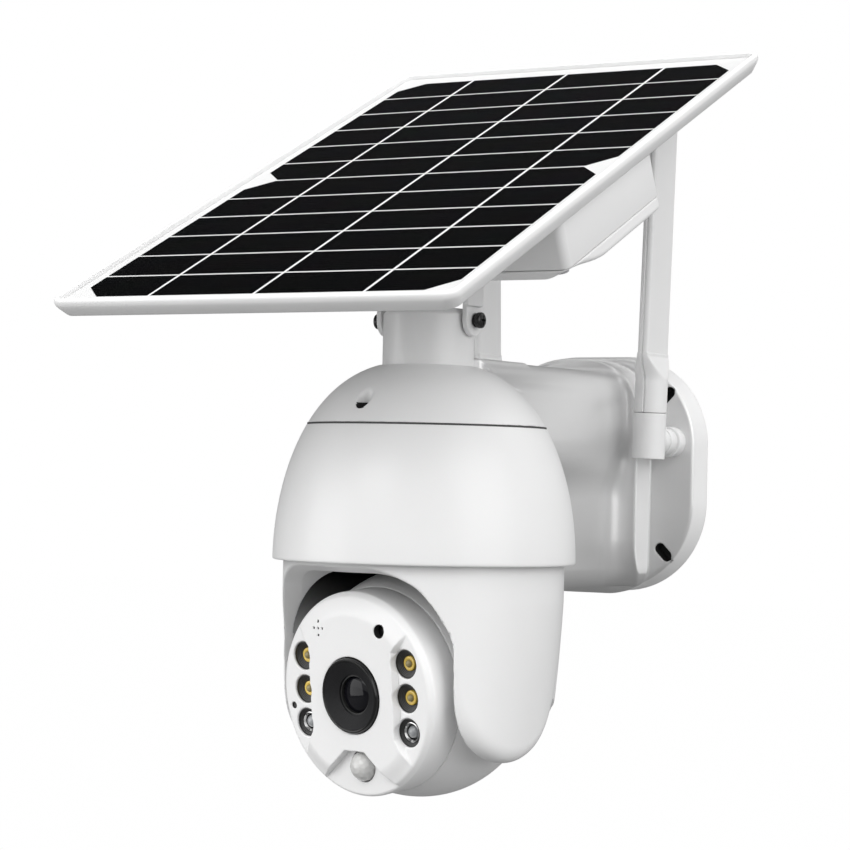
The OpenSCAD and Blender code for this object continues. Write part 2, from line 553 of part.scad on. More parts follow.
module battery_box() {
  d = box_v1 - box_v0;
  color(white) at_panel() difference() {
    union() { box_slab(154, d, 5, box_seam + 0.1, cell_h - 4 - box_seam - 0.1); }
    box_slab(149, d - 5, 3.5, box_seam - 1, cell_h - 6.2 - box_seam + 1);
  }
}
// height of the seat of the cover's front and rear screws
function screw_seat(side) = side < 0 ? 26.3 : 24.2;
module battery_cover() {
  d = box_v1 - box_v0;
  color(white) at_panel() difference() {
    union() {
      difference() {
        hull() {
          box_slab(154, d, 5, box_seam - 1.2, 1.1);
          translate([-75.5, 4, 22]) cube([151, 53, 1]);
          translate([-71, box_v0 + 0.6, 23.6]) cube([142, 30, 1]);
        }
        translate([0, 0, 0.2]) box_slab(148, d - 6, 3, box_seam - 2.6, 6);
      }
      // bosses of the two front screws
      for (x = [-1, 1]) translate([x * 70.5, (box_v0 + box_v1) / 2 - 34, 24.6]) cylinder(r = 4.4, h = 2.8, $fn = 32);
    }
    // flat seat for the hinge bracket
    translate([-16, -2, 20]) cube([32, 24, 2.2]);
    for (x = [-1, 1], y = [-1, 1]) translate([x * 70.5, (box_v0 + box_v1) / 2 + y * 34, 15]) cylinder(r = 3.2, h = screw_seat(y) - 15, $fn = 32);
    for (x = [-1, 1], y = [-1, 1]) translate([x * 70.5, (box_v0 + box_v1) / 2 + y * 34, 15]) cylinder(r = 1.4, h = 30, $fn = 24);
  }
}
module cover_screws() {
  color("silver") at_panel() for (x = [-1, 1], y = [-1, 1]) translate([x * 70.5, (box_v0 + box_v1) / 2 + y * 34, screw_seat(y)]) mirror([0, 0, 1]) {
    cylinder(r = 2.8, h = 1.6, $fn = 32); translate([0, 0, -0.9]) cylinder(r = 1.3, h = 1, $fn = 24);
  }
}
module battery_cradle() {
  color([0.1, 0.1, 0.1]) at_panel() translate([0, 18, 25.4]) difference() {
    translate([-70, -24, 0]) cube([140, 48, 9]);
    for (x = [-1, 1], y = [-1, 1]) translate([x * 34.5, y * 11.5, 11]) rotate([0, 90, 0]) cylinder(r = 9.3, h = 66.4, center = true, $fn = 64);
  }
}
module battery_cells() {
  color([0.2, 0.4, 0.7]) at_panel() for (x = [-1, 1], y = [-1, 1]) translate([x * 34.5, 18 + y * 11.5, 36.4]) rotate([0, 90, 0]) {
    cylinder(r = 9.1, h = 65, center = true, $fn = 64);
    translate([0, 0, 32.5 - e]) cylinder(r = 3, h = 0.6, $fn = 32);
  }
}
module charge_board() {
  color([0.05, 0.35, 0.2]) at_panel() translate([-30, 44.5, 26]) { cube([60, 9.5, 1.6]); translate([10, 1, 1.6 - e]) cube([10, 7, 5]); translate([34, 2, 1.6 - e]) cube([12, 6, 3]); }
}
module hinge_bracket() {
  color(white) at_panel() difference() {
    union() {
      translate([-19.8, -2, 19.2]) cube([39.6, 24, 3]);
      // the ears hang upright when the panel is at its usual slope
      rotate([-25.5, 0, 0]) for (s = [-1, 1]) {
        translate([s * 19.1 - 1.1, -6, 0]) cube([2.2, 12, 27]);
        translate([s * 19.1, 0, 0]) rotate([0, 90, 0]) cylinder(r = 6, h = 2.2, center = true, $fn = 64);
        translate([s * 20.6 - 1.1, -8, 5.2]) cube([2.2, 12, 22]);
      }
    }
    translate([-40, -30, 21.95]) cube([80, 80, 20]);
    rotate([0, 90, 0]) cylinder(r = 2.06, h = 60, center = true, $fn = 48);
    translate([0, 10, 15]) cylinder(r = 4.5, h = 12, $fn = 48);
  }
}

// ---------- antennas ----------
module antenna_connectors() {
  color(white) for (s = [-1, 1]) translate([s * ant_x, 0, ant_z]) rotate([90, 0, 0]) {
    translate([0, 0, 9]) cylinder(r = 3.2, h = 4, $fn = 48);
    translate([0, 0, plate_t]) cylinder(r = 6.4, h = 5.2, $fn = 64);
    translate([0, 0, plate_t + 5.2 - e]) cylinder(r = 4.6, h = 1.2, $fn = 64);
    translate([0, 0, plate_t + 6.4 - 2 * e]) cylinder(r = 5.8, h = 5.6, $fn = 64);
    translate([0, 0, plate_t + 9]) cylinder(r = 2.5, h = 16.4, $fn = 48);
  }
}
module at_antenna(s) { translate([s * ant_x, -34.2, ant_z]) rotate([0, s * ant_lean, 0]) children(); }
module antenna_knuckle(s) {
  color(white) at_antenna(s) difference() {
    union() {
      translate([0, 0, -7.5]) cylinder(r = 6.7, h = 18.9, $fn = 96);
      rotate([-90, 0, 0]) cylinder(r = 5.6, h = 9.2, $fn = 64);
    }
    rotate([90, 0, 0]) translate([0, 0, -20]) cylinder(r = 2.56, h = 24.3, $fn = 48);
  }
}
module antenna_blade(s) {
  color(white) at_antenna(s) difference() {
    union() {
      translate([0, 0, 11.5]) cylinder(r = 6.7, h = 14, $fn = 96);
      hull() {
        translate([0, 0, 25.3]) cylinder(r = 6.4, h = 0.5, $fn = 32);
        translate([0, 0, 34.6]) linear_extrude(0.4) rrect(5.1, 20.3, 2.15);
      }
      translate([0, 0, 34.7]) linear_extrude(ant_top - ant_z - 34.7 - 3) rrect(5.2, 20.4, 2.2);
      hull() {
        translate([0, 0, ant_top - ant_z - 3.4]) linear_extrude(0.5) rrect(5.1, 20.3, 2.15);
        translate([0, 0, ant_top - ant_z - 0.2]) linear_extrude(0.2) rrect(2.6, 17, 1.2);
      }
    }
    for (s2 = [-1, 1]) translate([-0.35, s2 * 10 - 0.5, 36]) cube([0.7, 1, 90]);
  }
}
module right_antenna_knuckle() { antenna_knuckle(1); }
module right_antenna_blade() { antenna_blade(1); }
module left_antenna_knuckle() { antenna_knuckle(-1); }
module left_antenna_blade() { antenna_blade(-1); }

wall_bracket();
bracket_back_cover();
cap_screw();
arm_screws();
housing_cap();
housing_shroud();
seam_seal();
neck_tube();
neck_grommet();
hinge_screws();
hinge_washers();
housing_floor();
pan_bearing();
pan_motor();
pan_pinion();
speaker();
main_board();
radio_module();
pan_housing();
pan_top_plate();
pan_gear();
pan_retainer();
tilt_gear_shaft();
tilt_stub_shaft();
ball_rear_shell();
ball_front_cover();
tilt_bushes();
tilt_motor();
tilt_pinion();
lens_ring();
lens_barrel();
lens_glass();
image_sensor_board();
led_board();
led_reflectors();
white_leds();
infrared_leds();
motion_lens();
motion_sensor();
microphone();
light_sensor();
status_led();
panel_frame();
panel_glass();
solar_cells();
cell_ribbons();
panel_backsheet();
battery_box();
battery_cover();
battery_cells();
battery_cradle();
charge_board();
cover_screws();
hinge_bracket();
antenna_connectors();
right_antenna_knuckle();
right_antenna_blade();
left_antenna_knuckle();
left_antenna_blade();
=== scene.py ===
import math

import bpy
import numpy as np
from mathutils import Matrix, Vector


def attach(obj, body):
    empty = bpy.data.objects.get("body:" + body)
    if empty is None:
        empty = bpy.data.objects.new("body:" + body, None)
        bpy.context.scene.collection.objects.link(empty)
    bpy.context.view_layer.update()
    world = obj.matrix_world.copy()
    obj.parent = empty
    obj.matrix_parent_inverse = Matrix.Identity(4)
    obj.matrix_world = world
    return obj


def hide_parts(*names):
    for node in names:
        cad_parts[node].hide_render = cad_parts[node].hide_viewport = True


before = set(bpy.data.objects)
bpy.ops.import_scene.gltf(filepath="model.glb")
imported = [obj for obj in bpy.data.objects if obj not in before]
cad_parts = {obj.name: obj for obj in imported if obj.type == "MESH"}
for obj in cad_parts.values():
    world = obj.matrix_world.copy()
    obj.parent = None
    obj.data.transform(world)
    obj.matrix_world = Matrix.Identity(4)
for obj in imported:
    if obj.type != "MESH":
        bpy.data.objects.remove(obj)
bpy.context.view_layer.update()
MM = 0.001

# ------------------------------------------------------------------ frames
DOME = np.array([0.0, -148.1, 0.0])
PAN = math.radians(-11.8)
TILT = math.radians(6.2)
PANEL = math.radians(25.5)
LEAN = math.radians(1.5)


def rot(axis, a):
    return np.array(Matrix.Rotation(a, 3, axis))


R_PAN = rot("Z", PAN)
R_BALL = R_PAN @ rot("X", TILT)
R_PANEL = rot("X", PANEL)
O_BALL = DOME + np.array([0, 0, -81.5])
O_PIVOT = DOME + np.array([0, 0, 56.3])
EYE = np.eye(3)


# ------------------------------------------------------------------ meshes
def make(name, verts, faces, body, mats, R=EYE, O=(0, 0, 0), normals=None, angle=35, matidx=None):
    """A piece from points in millimetres in a local frame (R, O), on a body."""
    v = (np.asarray(verts, float) @ R.T + np.asarray(O, float)) * MM
    me = bpy.data.meshes.new(name)
    faces = faces.tolist() if isinstance(faces, np.ndarray) else faces
    me.from_pydata(v.tolist(), [], faces)
    me.validate()
    if not isinstance(mats, (list, tuple)):
        mats = [mats]
    for m in mats:
        me.materials.append(m)
    if matidx is not None:
        me.polygons.foreach_set("material_index", np.asarray(matidx, np.int32))
    me.polygons.foreach_set("use_smooth", np.ones(len(me.polygons), bool))
    if normals is not None and len(me.vertices) == len(v):
        n = np.asarray(normals) @ R.T
        me.normals_split_custom_set_from_vertices(n.tolist())
    elif angle is not None:
        me.set_sharp_from_angle(angle=math.radians(angle))
    me.update()
    ob = bpy.data.objects.new(name, me)
    bpy.context.scene.collection.objects.link(ob)
    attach(ob, body)
    return ob


def join_parts(parts):
    """One vertex and face list from several."""
    vs, fs, n = [], [], 0
    for v, f in parts:
        v = np.asarray(v, float)
        vs.append(v)
        fs += [[i + n for i in q] for q in (f.tolist() if isinstance(f, np.ndarray) else f)]
        n += len(v)
    return np.concatenate(vs), fs


def lathe(profile, n=96, axis="z"):
    """Closed or open profile of [radius, height] turned about an axis. Points with radius 0 close it."""
    p = np.asarray(profile, float)
    a = np.arange(n) * 2 * math.pi / n
    V, idx = [], []
    k = 0
    for r, z in p:
        if r < 1e-6:
            V.append([[0, 0, z]])
            idx.append([k] * n)
            k += 1
        else:
            V.append(np.c_[r * np.cos(a), r * np.sin(a), np.full(n, z)])
            idx.append(list(range(k, k + n)))
            k += n
    V = np.concatenate([np.asarray(v, float) for v in V])
    F = []
    for i in range(len(p) - 1):
        A, B = idx[i], idx[i + 1]
        for j in range(n):
            q = [A[j], A[(j + 1) % n], B[(j + 1) % n], B[j]]
            q = [x for t, x in enumerate(q) if x != q[t - 1]]
            if len(q) > 2:
                F.append(q)
    if axis == "x":
        V = V[:, [2, 0, 1]]
    elif axis == "y":
        V = V[:, [1, 2, 0]]
    elif axis == "-y":
        V = np.c_[V[:, 0], -V[:, 2], V[:, 1]]
    return V, F


def soften(profile, r, steps=4, closed=False):
    """Rounds the corners of a [radius, height] line. r is one radius or one per point."""
    p = [np.array(q, float) for q in profile]
    rr = [r] * len(p) if np.isscalar(r) else list(r)
    out = []
    for i, q in enumerate(p):
        if i in (0, len(p) - 1) or rr[i] <= 0:
            out.append(q)
            continue
        a, b = p[i - 1] - q, p[i + 1] - q
        la, lb = np.linalg.norm(a), np.linalg.norm(b)
        d = min(rr[i], la * 0.48, lb * 0.48)
        a, b = q + a / la * d, q + b / lb * d
        for k in range(steps + 1):
            t = k / steps
            out.append((1 - t) ** 2 * a + 2 * t * (1 - t) * q + t * t * b)
    return [x.tolist() for x in out]


def ring(hx, hy, r, n=10):
    """A rounded rectangle's points, counter-clockwise."""
    r = max(min(r, hx - 1e-3, hy - 1e-3), 1e-3)
    pts = []
    for cx, cy, a0 in ((hx - r, hy - r, 0), (-hx + r, hy - r, 90), (-hx + r, -hy + r, 180), (hx - r, -hy + r, 270)):
        for k in range(n + 1):
            a = math.radians(a0 + 90 * k / n)
            pts.append([cx + r * math.cos(a), cy + r * math.sin(a)])
    return np.array(pts)


def loft(rings, cap0=True, cap1=True):
    """Joins rings of equal length, each an (n, 3) array."""
    n = len(rings[0])
    V = np.concatenate(rings)
    F = []
    for i in range(len(rings) - 1):
        for j in range(n):
            F.append([i * n + j, i * n + (j + 1) % n, (i + 1) * n + (j + 1) % n, (i + 1) * n + j])
    if cap0:
        F.append(list(range(n))[::-1])
    if cap1:
        F.append(list(range((len(rings) - 1) * n, len(rings) * n)))
    return V, F


# ------------------------------------------------------------------ smooth solids from distance fields
def ln(*a):
    s = 0
    for x in a:
        s = s + x * x
    return np.sqrt(s)


def smin(a, b, k):
    h = np.clip(0.5 + 0.5 * (b - a) / k, 0, 1)
    return b + (a - b) * h - k * h * (1 - h)


def smax(a, b, k):
    return -smin(-a, -b, k)


def rr2(x, y, hx, hy, r):
    qx, qy = np.abs(x) - hx + r, np.abs(y) - hy + r
    return ln(np.maximum(qx, 0), np.maximum(qy, 0)) + np.minimum(np.maximum(qx, qy), 0) - r


def ext(d2, h, r):
    a, b = d2 + r, h + r
    return np.minimum(np.maximum(a, b), 0) + ln(np.maximum(a, 0), np.maximum(b, 0)) - r


def sstep(t):
    t = np.clip(t, 0, 1)
    return t * t * (3 - 2 * t)


def poly2(x, y, pts, closed=True):
    """Signed distance to a polygon. Its points may be arrays that vary with the place."""
    d = None
    inside = None
    n = len(pts)
    for i in range(n):
        ax, ay = pts[i]
        bx, by = pts[(i + 1) % n]
        ex, ey = bx - ax, by - ay
        wx, wy = x - ax, y - ay
        t = np.clip((wx * ex + wy * ey) / (ex * ex + ey * ey + 1e-9), 0, 1)
        q = (wx - ex * t) ** 2 + (wy - ey * t) ** 2
        if i < n - 1 or closed:
            d = q if d is None else np.minimum(d, q)
        c = (ay > y) != (by > y)
        c &= x < ax + ex * (y - ay) / np.where(np.abs(ey) < 1e-9, 1e-9, ey)
        inside = c if inside is None else inside ^ c
    return np.where(inside, -1.0, 1.0) * np.sqrt(d)


def nets(f, lo, hi, h):
    """Surface nets on a grid, then pulled on to the surface. Returns points, quads and normals."""
    lo, hi = np.array(lo, float), np.array(hi, float)
    n = np.ceil((hi - lo) / h).astype(int) + 1
    ax = [(lo[i] + h * np.arange(n[i])).astype(np.float32) for i in range(3)]
    F = np.empty(n, np.float32)
    step = max(1, int(600000 // (n[1] * n[2])))
    for i in range(0, n[0], step):
        X, Y, Z = np.meshgrid(ax[0][i:i + step], ax[1], ax[2], indexing="ij")
        F[i:i + step] = f(X, Y, Z)
    S = F < 0
    corners = [(a, b, c) for a in (0, 1) for b in (0, 1) for c in (0, 1)]
    sl = lambda a, b, c: S[a:n[0] - 1 + a, b:n[1] - 1 + b, c:n[2] - 1 + c]
    anyv = np.zeros(n - 1, bool)
    allv = np.ones(n - 1, bool)
    for c in corners:
        anyv |= sl(*c)
        allv &= sl(*c)
    I, J, K = np.nonzero(anyv & ~allv)
    idx = -np.ones(n - 1, np.int64)
    idx[I, J, K] = np.arange(len(I))
    acc = np.zeros((len(I), 3))
    cnt = np.zeros(len(I))
    for a in range(3):
        o1, o2 = [k for k in range(3) if k != a]
        for p in (0, 1):
            for q in (0, 1):
                c0 = [0, 0, 0]
                c0[o1], c0[o2] = p, q
                c1 = list(c0)
                c1[a] = 1
                f0 = F[I + c0[0], J + c0[1], K + c0[2]].astype(float)
                f1 = F[I + c1[0], J + c1[1], K + c1[2]].astype(float)
                m = (f0 < 0) != (f1 < 0)
                t = np.where(m, f0 / np.where(m, f0 - f1, 1), 0)
                pos = np.array(c0, float)[None, :].repeat(len(I), 0)
                pos[:, a] = t
                acc[m] += pos[m]
                cnt[m] += 1
    V = lo + h * (np.c_[I, J, K] + acc / cnt[:, None])
    Q = []
    for a in range(3):
        o1, o2 = [(1, 2), (2, 0), (0, 1)][a]
        s0 = [slice(None)] * 3
        s1 = [slice(None)] * 3
        s0[a], s1[a] = slice(0, n[a] - 1), slice(1, n[a])
        A, B = S[tuple(s0)], S[tuple(s1)]
        E = np.array(np.nonzero(A != B))
        ok = (E[o1] > 0) & (E[o2] > 0) & (E[o1] < n[o1] - 1) & (E[o2] < n[o2] - 1)
        E = E[:, ok]
        sgn = A[tuple(E)]
        qs = []
        for d1, d2 in ((-1, -1), (0, -1), (0, 0), (-1, 0)):
            e = E.copy()
            e[o1] += d1
            e[o2] += d2
            qs.append(idx[tuple(e)])
        q = np.array(qs).T
        q[~sgn] = q[~sgn][:, ::-1]
        Q.append(q)
    Q = np.concatenate(Q)
    Q = Q[(Q >= 0).all(1)]

    def grad(P, e):
        g = np.empty_like(P)
        for k in range(3):
            d = np.zeros(3)
            d[k] = e
            a, b = P + d, P - d
            g[:, k] = (f(a[:, 0], a[:, 1], a[:, 2]) - f(b[:, 0], b[:, 1], b[:, 2])) / (2 * e)
        return g

    base = V.copy()
    for _ in range(3):
        g = grad(V, 0.05)
        v = f(V[:, 0], V[:, 1], V[:, 2])
        s = v / np.maximum((g * g).sum(1), 0.2)
        V = V - g * s[:, None]
        V = base + np.clip(V - base, -0.75 * h, 0.75 * h)
    g = grad(V, max(0.08, h * 0.15))
    N = g / np.maximum(np.linalg.norm(g, axis=1, keepdims=True), 1e-9)
    # a corner vertex whose gradient is unreliable takes the mean of its faces
    fn = np.cross(V[Q[:, 2]] - V[Q[:, 0]], V[Q[:, 3]] - V[Q[:, 1]])
    vn = np.zeros_like(V)
    for k in range(4):
        np.add.at(vn, Q[:, k], fn)
    vn /= np.maximum(np.linalg.norm(vn, axis=1, keepdims=True), 1e-9)
    bad = np.where((N * vn).sum(1) < 0.6)[0]
    if len(bad):
        g2 = grad(V[bad], max(0.08, h * 0.15) * 2.2)
        g2 = g2 / np.maximum(np.linalg.norm(g2, axis=1, keepdims=True), 1e-9)
        bad = bad[(N[bad] * g2).sum(1) < 0.99]
        N[bad] = vn[bad]
    return V, Q, N


def solid(name, f, lo, hi, h, body, mats, R=EYE, O=(0, 0, 0), pick=None):
    V, Q, N = nets(f, lo, hi, h)
    mi = None
    if pick is not None:
        mi = pick(V[Q].mean(1)).astype(np.int32)
    return make(name, V, Q, body, mats, R, O, normals=N, matidx=mi)


# ------------------------------------------------------------------ materials
def new_mat(name):
    m = bpy.data.materials.new(name)
    m.use_nodes = True
    nt = m.node_tree
    for n in list(nt.nodes):
        nt.nodes.remove(n)
    out = nt.nodes.new("ShaderNodeOutputMaterial")
    b = nt.nodes.new("ShaderNodeBsdfPrincipled")
    nt.links.new(b.outputs[0], out.inputs[0])
    return m, nt, b


def plastic(name, col, rough, bump=0.06, grain=2600, mott=0.02, coat=0.0, spec=0.5, wear=0.0, sss=0.0, metal=0.0, rvar=0.05):
    """Moulded plastic or metal: slow tone drift, fine surface grain in colour, roughness and bump."""
    m, nt, b = new_mat(name)
    N, L = nt.nodes.new, nt.links.new
    tc = N("ShaderNodeTexCoord")
    slow = N("ShaderNodeTexNoise")
    slow.inputs["Scale"].default_value = 16
    slow.inputs["Detail"].default_value = 4
    fine = N("ShaderNodeTexNoise")
    fine.inputs["Scale"].default_value = grain
    fine.inputs["Detail"].default_value = 3
    L(tc.outputs["Object"], slow.inputs["Vector"])
    L(tc.outputs["Object"], fine.inputs["Vector"])
    ramp = N("ShaderNodeValToRGB")
    c = np.array(col[:3])
    lo, hi = np.clip(c * (1 - mott), 0, 1), np.clip(c * (1 + mott), 0, 1)
    ramp.color_ramp.elements[0].position = 0.3
    ramp.color_ramp.elements[1].position = 0.7
    ramp.color_ramp.elements[0].color = (*lo, 1)
    ramp.color_ramp.elements[1].color = (*hi, 1)
    L(slow.outputs["Fac"], ramp.inputs["Fac"])
    last = ramp.outputs["Color"]
    mix = N("ShaderNodeMixRGB")
    mix.blend_type = "MULTIPLY"
    mix.inputs["Fac"].default_value = 0.06
    L(last, mix.inputs["Color1"])
    L(fine.outputs["Color"], mix.inputs["Color2"])
    hs = N("ShaderNodeHueSaturation")
    hs.inputs["Saturation"].default_value = 1.0
    L(mix.outputs["Color"], hs.inputs["Color"])
    L(hs.outputs["Color"], b.inputs["Base Color"])
    mr = N("ShaderNodeMapRange")
    mr.inputs["To Min"].default_value = max(0.02, rough - rvar)
    mr.inputs["To Max"].default_value = min(1, rough + rvar)
    L(slow.outputs["Fac"], mr.inputs["Value"])
    L(mr.outputs["Result"], b.inputs["Roughness"])
    bp = N("ShaderNodeBump")
    bp.inputs["Strength"].default_value = bump
    bp.inputs["Distance"].default_value = 0.0002
    L(fine.outputs["Fac"], bp.inputs["Height"])
    L(bp.outputs["Normal"], b.inputs["Normal"])
    b.inputs["Specular IOR Level"].default_value = spec
    b.inputs["Coat Weight"].default_value = coat
    b.inputs["Coat Roughness"].default_value = 0.08
    b.inputs["Metallic"].default_value = metal
    return m


def clear(name, col, rough, alpha, spec=0.5):
    """A clear cover: mostly see-through, with its own gloss and a faint smear in roughness."""
    m, nt, b = new_mat(name)
    N, L = nt.nodes.new, nt.links.new
    tc = N("ShaderNodeTexCoord")
    ns = N("ShaderNodeTexNoise")
    ns.inputs["Scale"].default_value = 30
    L(tc.outputs["Object"], ns.inputs["Vector"])
    mr = N("ShaderNodeMapRange")
    mr.inputs["To Min"].default_value = rough * 0.7
    mr.inputs["To Max"].default_value = rough * 1.3
    L(ns.outputs["Fac"], mr.inputs["Value"])
    L(mr.outputs["Result"], b.inputs["Roughness"])
    b.inputs["Base Color"].default_value = (*col, 1)
    b.inputs["Alpha"].default_value = alpha
    b.inputs["Specular IOR Level"].default_value = spec
    return m


WHITE = plastic("white_shell", (0.80, 0.80, 0.80), 0.38, bump=0.05, coat=0.12)
ARM = plastic("pearl_bracket", (0.78, 0.78, 0.78), 0.33, bump=0.015, coat=0.2, metal=0.28)


def paint_bracket_light(m):
    """Paints light and shade into the pearl bracket's colour: the plate's rim and the flange's sides are painted white
    as lit faces, and the rest is painted darker downwards as shade.
    """
    nt = m.node_tree
    b = [n for n in nt.nodes if n.type == "BSDF_PRINCIPLED"][0]
    N, L = nt.nodes.new, nt.links.new

    def math_(op, p, q=None):
        n = N("ShaderNodeMath")
        n.operation = op
        for k, v in enumerate((p, q)):
            if v is None:
                continue
            if isinstance(v, float):
                n.inputs[k].default_value = v
            else:
                L(v, n.inputs[k])
        return n.outputs[0]

    def rise(v, lo, hi):
        n = N("ShaderNodeMapRange")
        n.inputs["From Min"].default_value = lo * MM
        n.inputs["From Max"].default_value = hi * MM
        L(v, n.inputs["Value"])
        return n.outputs["Result"]

    def corner(p, q, r):
        p2 = math_("MAXIMUM", math_("SUBTRACT", p, r[0] * MM), 0.0)
        q2 = math_("MAXIMUM", math_("SUBTRACT", q, r[1] * MM), 0.0)
        return math_("SQRT", math_("ADD", math_("MULTIPLY", p2, p2), math_("MULTIPLY", q2, q2)))

    tc = N("ShaderNodeTexCoord")
    sep = N("ShaderNodeSeparateXYZ")
    L(tc.outputs["Object"], sep.inputs[0])
    ax, az = math_("ABSOLUTE", sep.outputs["X"]), math_("ABSOLUTE", sep.outputs["Z"])
    out = math_("MULTIPLY", sep.outputs["Y"], -1.0)
    # painted highlight mask: the plate's rim and the flange's sides, painted white as if lit
    rim = math_("MULTIPLY", rise(corner(ax, az, (12.0, 12.0)), 36.3, 36.8), math_("SUBTRACT", 1.0, rise(out, 11.6, 12.2)))
    side = rise(corner(ax, sep.outputs["Z"], (4.7, 23.2)), 23.4, 23.7)
    side = math_("MULTIPLY", side, math_("MULTIPLY", rise(out, 13.0, 13.4), math_("SUBTRACT", 1.0, rise(out, 24.4, 24.8))))
    f = math_("MAXIMUM", rim, side)
    mix = N("ShaderNodeMixRGB")
    L(f, mix.inputs["Fac"])
    # painted shade: the bracket's colour darkens downwards as if less lit below
    tone = N("ShaderNodeValToRGB")
    tone.color_ramp.elements[0].color = (0.66, 0.66, 0.66, 1)
    tone.color_ramp.elements[1].color = (1.0, 1.0, 1.0, 1)
    L(rise(sep.outputs["Z"], -38.0, 26.0), tone.inputs["Fac"])
    dim = N("ShaderNodeMixRGB")
    dim.blend_type = "MULTIPLY"
    dim.inputs["Fac"].default_value = 1.0
    L(b.inputs["Base Color"].links[0].from_socket, dim.inputs["Color1"])
    L(tone.outputs["Color"], dim.inputs["Color2"])
    L(dim.outputs["Color"], mix.inputs["Color1"])
    mix.inputs["Color2"].default_value = (0.80, 0.80, 0.80, 1)
    b.inputs["Coat Roughness"].default_value = 0.22
    L(mix.outputs["Color"], b.inputs["Base Color"])
    L(math_("MULTIPLY", math_("SUBTRACT", 1.0, f), float(b.inputs["Metallic"].default_value)), b.inputs["Metallic"])


# paint side light and downward shade into the bracket's colour
paint_bracket_light(ARM)
FACE = plastic("white_face", (0.86, 0.86, 0.86), 0.40, bump=0.05)
FRAME = plastic("white_frame", (0.82, 0.82, 0.82), 0.42, bump=0.06)
ANT = plastic("white_antenna", (0.78, 0.78, 0.78), 0.45, bump=0.05)
INNER = plastic("inner_plastic", (0.62, 0.62, 0.60), 0.55)
# painted shade: near-black put on hollow walls and hidden inner faces where only shadow falls
PAINTED_SHADE = plastic("shadowed_inside", (0.012, 0.012, 0.012), 0.8)
BLACK = plastic("black_plastic", (0.02, 0.02, 0.02), 0.45, bump=0.2, mott=0.2)
BLACKG = plastic("black_gloss", (0.008, 0.008, 0.008), 0.2, bump=0.01, mott=0.2, spec=0.3)
CONE = plastic("lens_cone", (0.012, 0.012, 0.013), 0.5, bump=0.15, mott=0.15, spec=0.2)
BOWL = plastic("lamp_bowl", (0.03, 0.03, 0.03), 0.3, bump=0.05, mott=0.15)
CORE = plastic("emitter_core", (0.30, 0.25, 0.12), 0.2, mott=0.2)
RUBBER = plastic("seal_rubber", (0.05, 0.05, 0.05), 0.7, mott=0.2)
STEEL = plastic("plated_steel", (0.62, 0.62, 0.63), 0.3, metal=1.0, mott=0.06)
BSTEEL = plastic("blackened_steel", (0.03, 0.03, 0.03), 0.25, metal=0.6, mott=0.2)
BRASS = plastic("brass", (0.72, 0.55, 0.25), 0.3, metal=1.0)
GEAR = plastic("gear_acetal", (0.75, 0.71, 0.6), 0.4)
BOARD = plastic("board_green", (0.02, 0.14, 0.06), 0.4, mott=0.25)
WBOARD = plastic("board_white", (0.7, 0.7, 0.68), 0.4)
WRAP = plastic("cell_wrap", (0.06, 0.16, 0.4), 0.3)
SHEET = plastic("back_sheet", (0.80, 0.80, 0.80), 0.5)
RIBBON = plastic("tinned_ribbon", (0.86, 0.86, 0.87), 0.45, mott=0.03)
YELLOW = plastic("warm_emitter", (0.72, 0.50, 0.08), 0.25, mott=0.25, grain=1500, coat=0.3)
FROST = plastic("frosted_lens", (0.58, 0.58, 0.57), 0.14, mott=0.15, coat=0.6)
CLEAR_LED = plastic("clear_epoxy", (0.30, 0.31, 0.32), 0.08, mott=0.3, coat=0.6)
CHROME = plastic("bright_ring", (0.6, 0.6, 0.6), 0.15, metal=1.0)
GLASS_COVER = clear("panel_cover_glass", (0.01, 0.012, 0.014), 0.06, 0.03, spec=0.04)
LENSG = plastic("coated_lens", (0.004, 0.004, 0.006), 0.06, bump=0.0, spec=0.22, rvar=0.01)
LENS_IN = plastic("lens_inner", (0.012, 0.012, 0.014), 0.12, bump=0.0, coat=0.6, rvar=0.01)


def silicon():
    """Dark silicon: fine finger lines across, faint grain, and a painted reflection that makes it slightly lighter
    towards the far end of the panel.
    """
    m, nt, b = new_mat("dark_silicon")
    N, L = nt.nodes.new, nt.links.new
    tc = N("ShaderNodeTexCoord")
    sep = N("ShaderNodeSeparateXYZ")
    L(tc.outputs["Object"], sep.inputs[0])
    wave = N("ShaderNodeTexWave")
    wave.wave_type = "BANDS"
    wave.bands_direction = "Y"
    wave.inputs["Scale"].default_value = 180
    L(tc.outputs["Object"], wave.inputs["Vector"])
    ns = N("ShaderNodeTexNoise")
    ns.inputs["Scale"].default_value = 60
    ns.inputs["Detail"].default_value = 5
    L(tc.outputs["Object"], ns.inputs["Vector"])
    # painted reflection: the cells' colour lightens towards the far end of the panel
    far = N("ShaderNodeMapRange")
    far.inputs["From Min"].default_value = -0.28
    far.inputs["From Max"].default_value = 0.0
    far.inputs["To Min"].default_value = 0.0
    far.inputs["To Max"].default_value = 1.0
    L(sep.outputs["Y"], far.inputs["Value"])
    ramp = N("ShaderNodeValToRGB")
    ramp.color_ramp.elements[0].color = (0.0014, 0.0014, 0.0015, 1)
    ramp.color_ramp.elements[1].color = (0.007, 0.007, 0.0075, 1)
    L(far.outputs["Result"], ramp.inputs["Fac"])
    mix = N("ShaderNodeMixRGB")
    mix.blend_type = "ADD"
    mix.inputs["Fac"].default_value = 0.004
    L(ramp.outputs["Color"], mix.inputs["Color1"])
    L(wave.outputs["Color"], mix.inputs["Color2"])
    mix2 = N("ShaderNodeMixRGB")
    mix2.blend_type = "MULTIPLY"
    mix2.inputs["Fac"].default_value = 0.4
    L(mix.outputs["Color"], mix2.inputs["Color1"])
    L(ns.outputs["Color"], mix2.inputs["Color2"])
    L(mix2.outputs["Color"], b.inputs["Base Color"])
    mr = N("ShaderNodeMapRange")
    mr.inputs["To Min"].default_value = 0.3
    mr.inputs["To Max"].default_value = 0.5
    L(ns.outputs["Fac"], mr.inputs["Value"])
    L(mr.outputs["Result"], b.inputs["Roughness"])
    b.inputs["Specular IOR Level"].default_value = 0.0
    return m


SILICON = silicon()

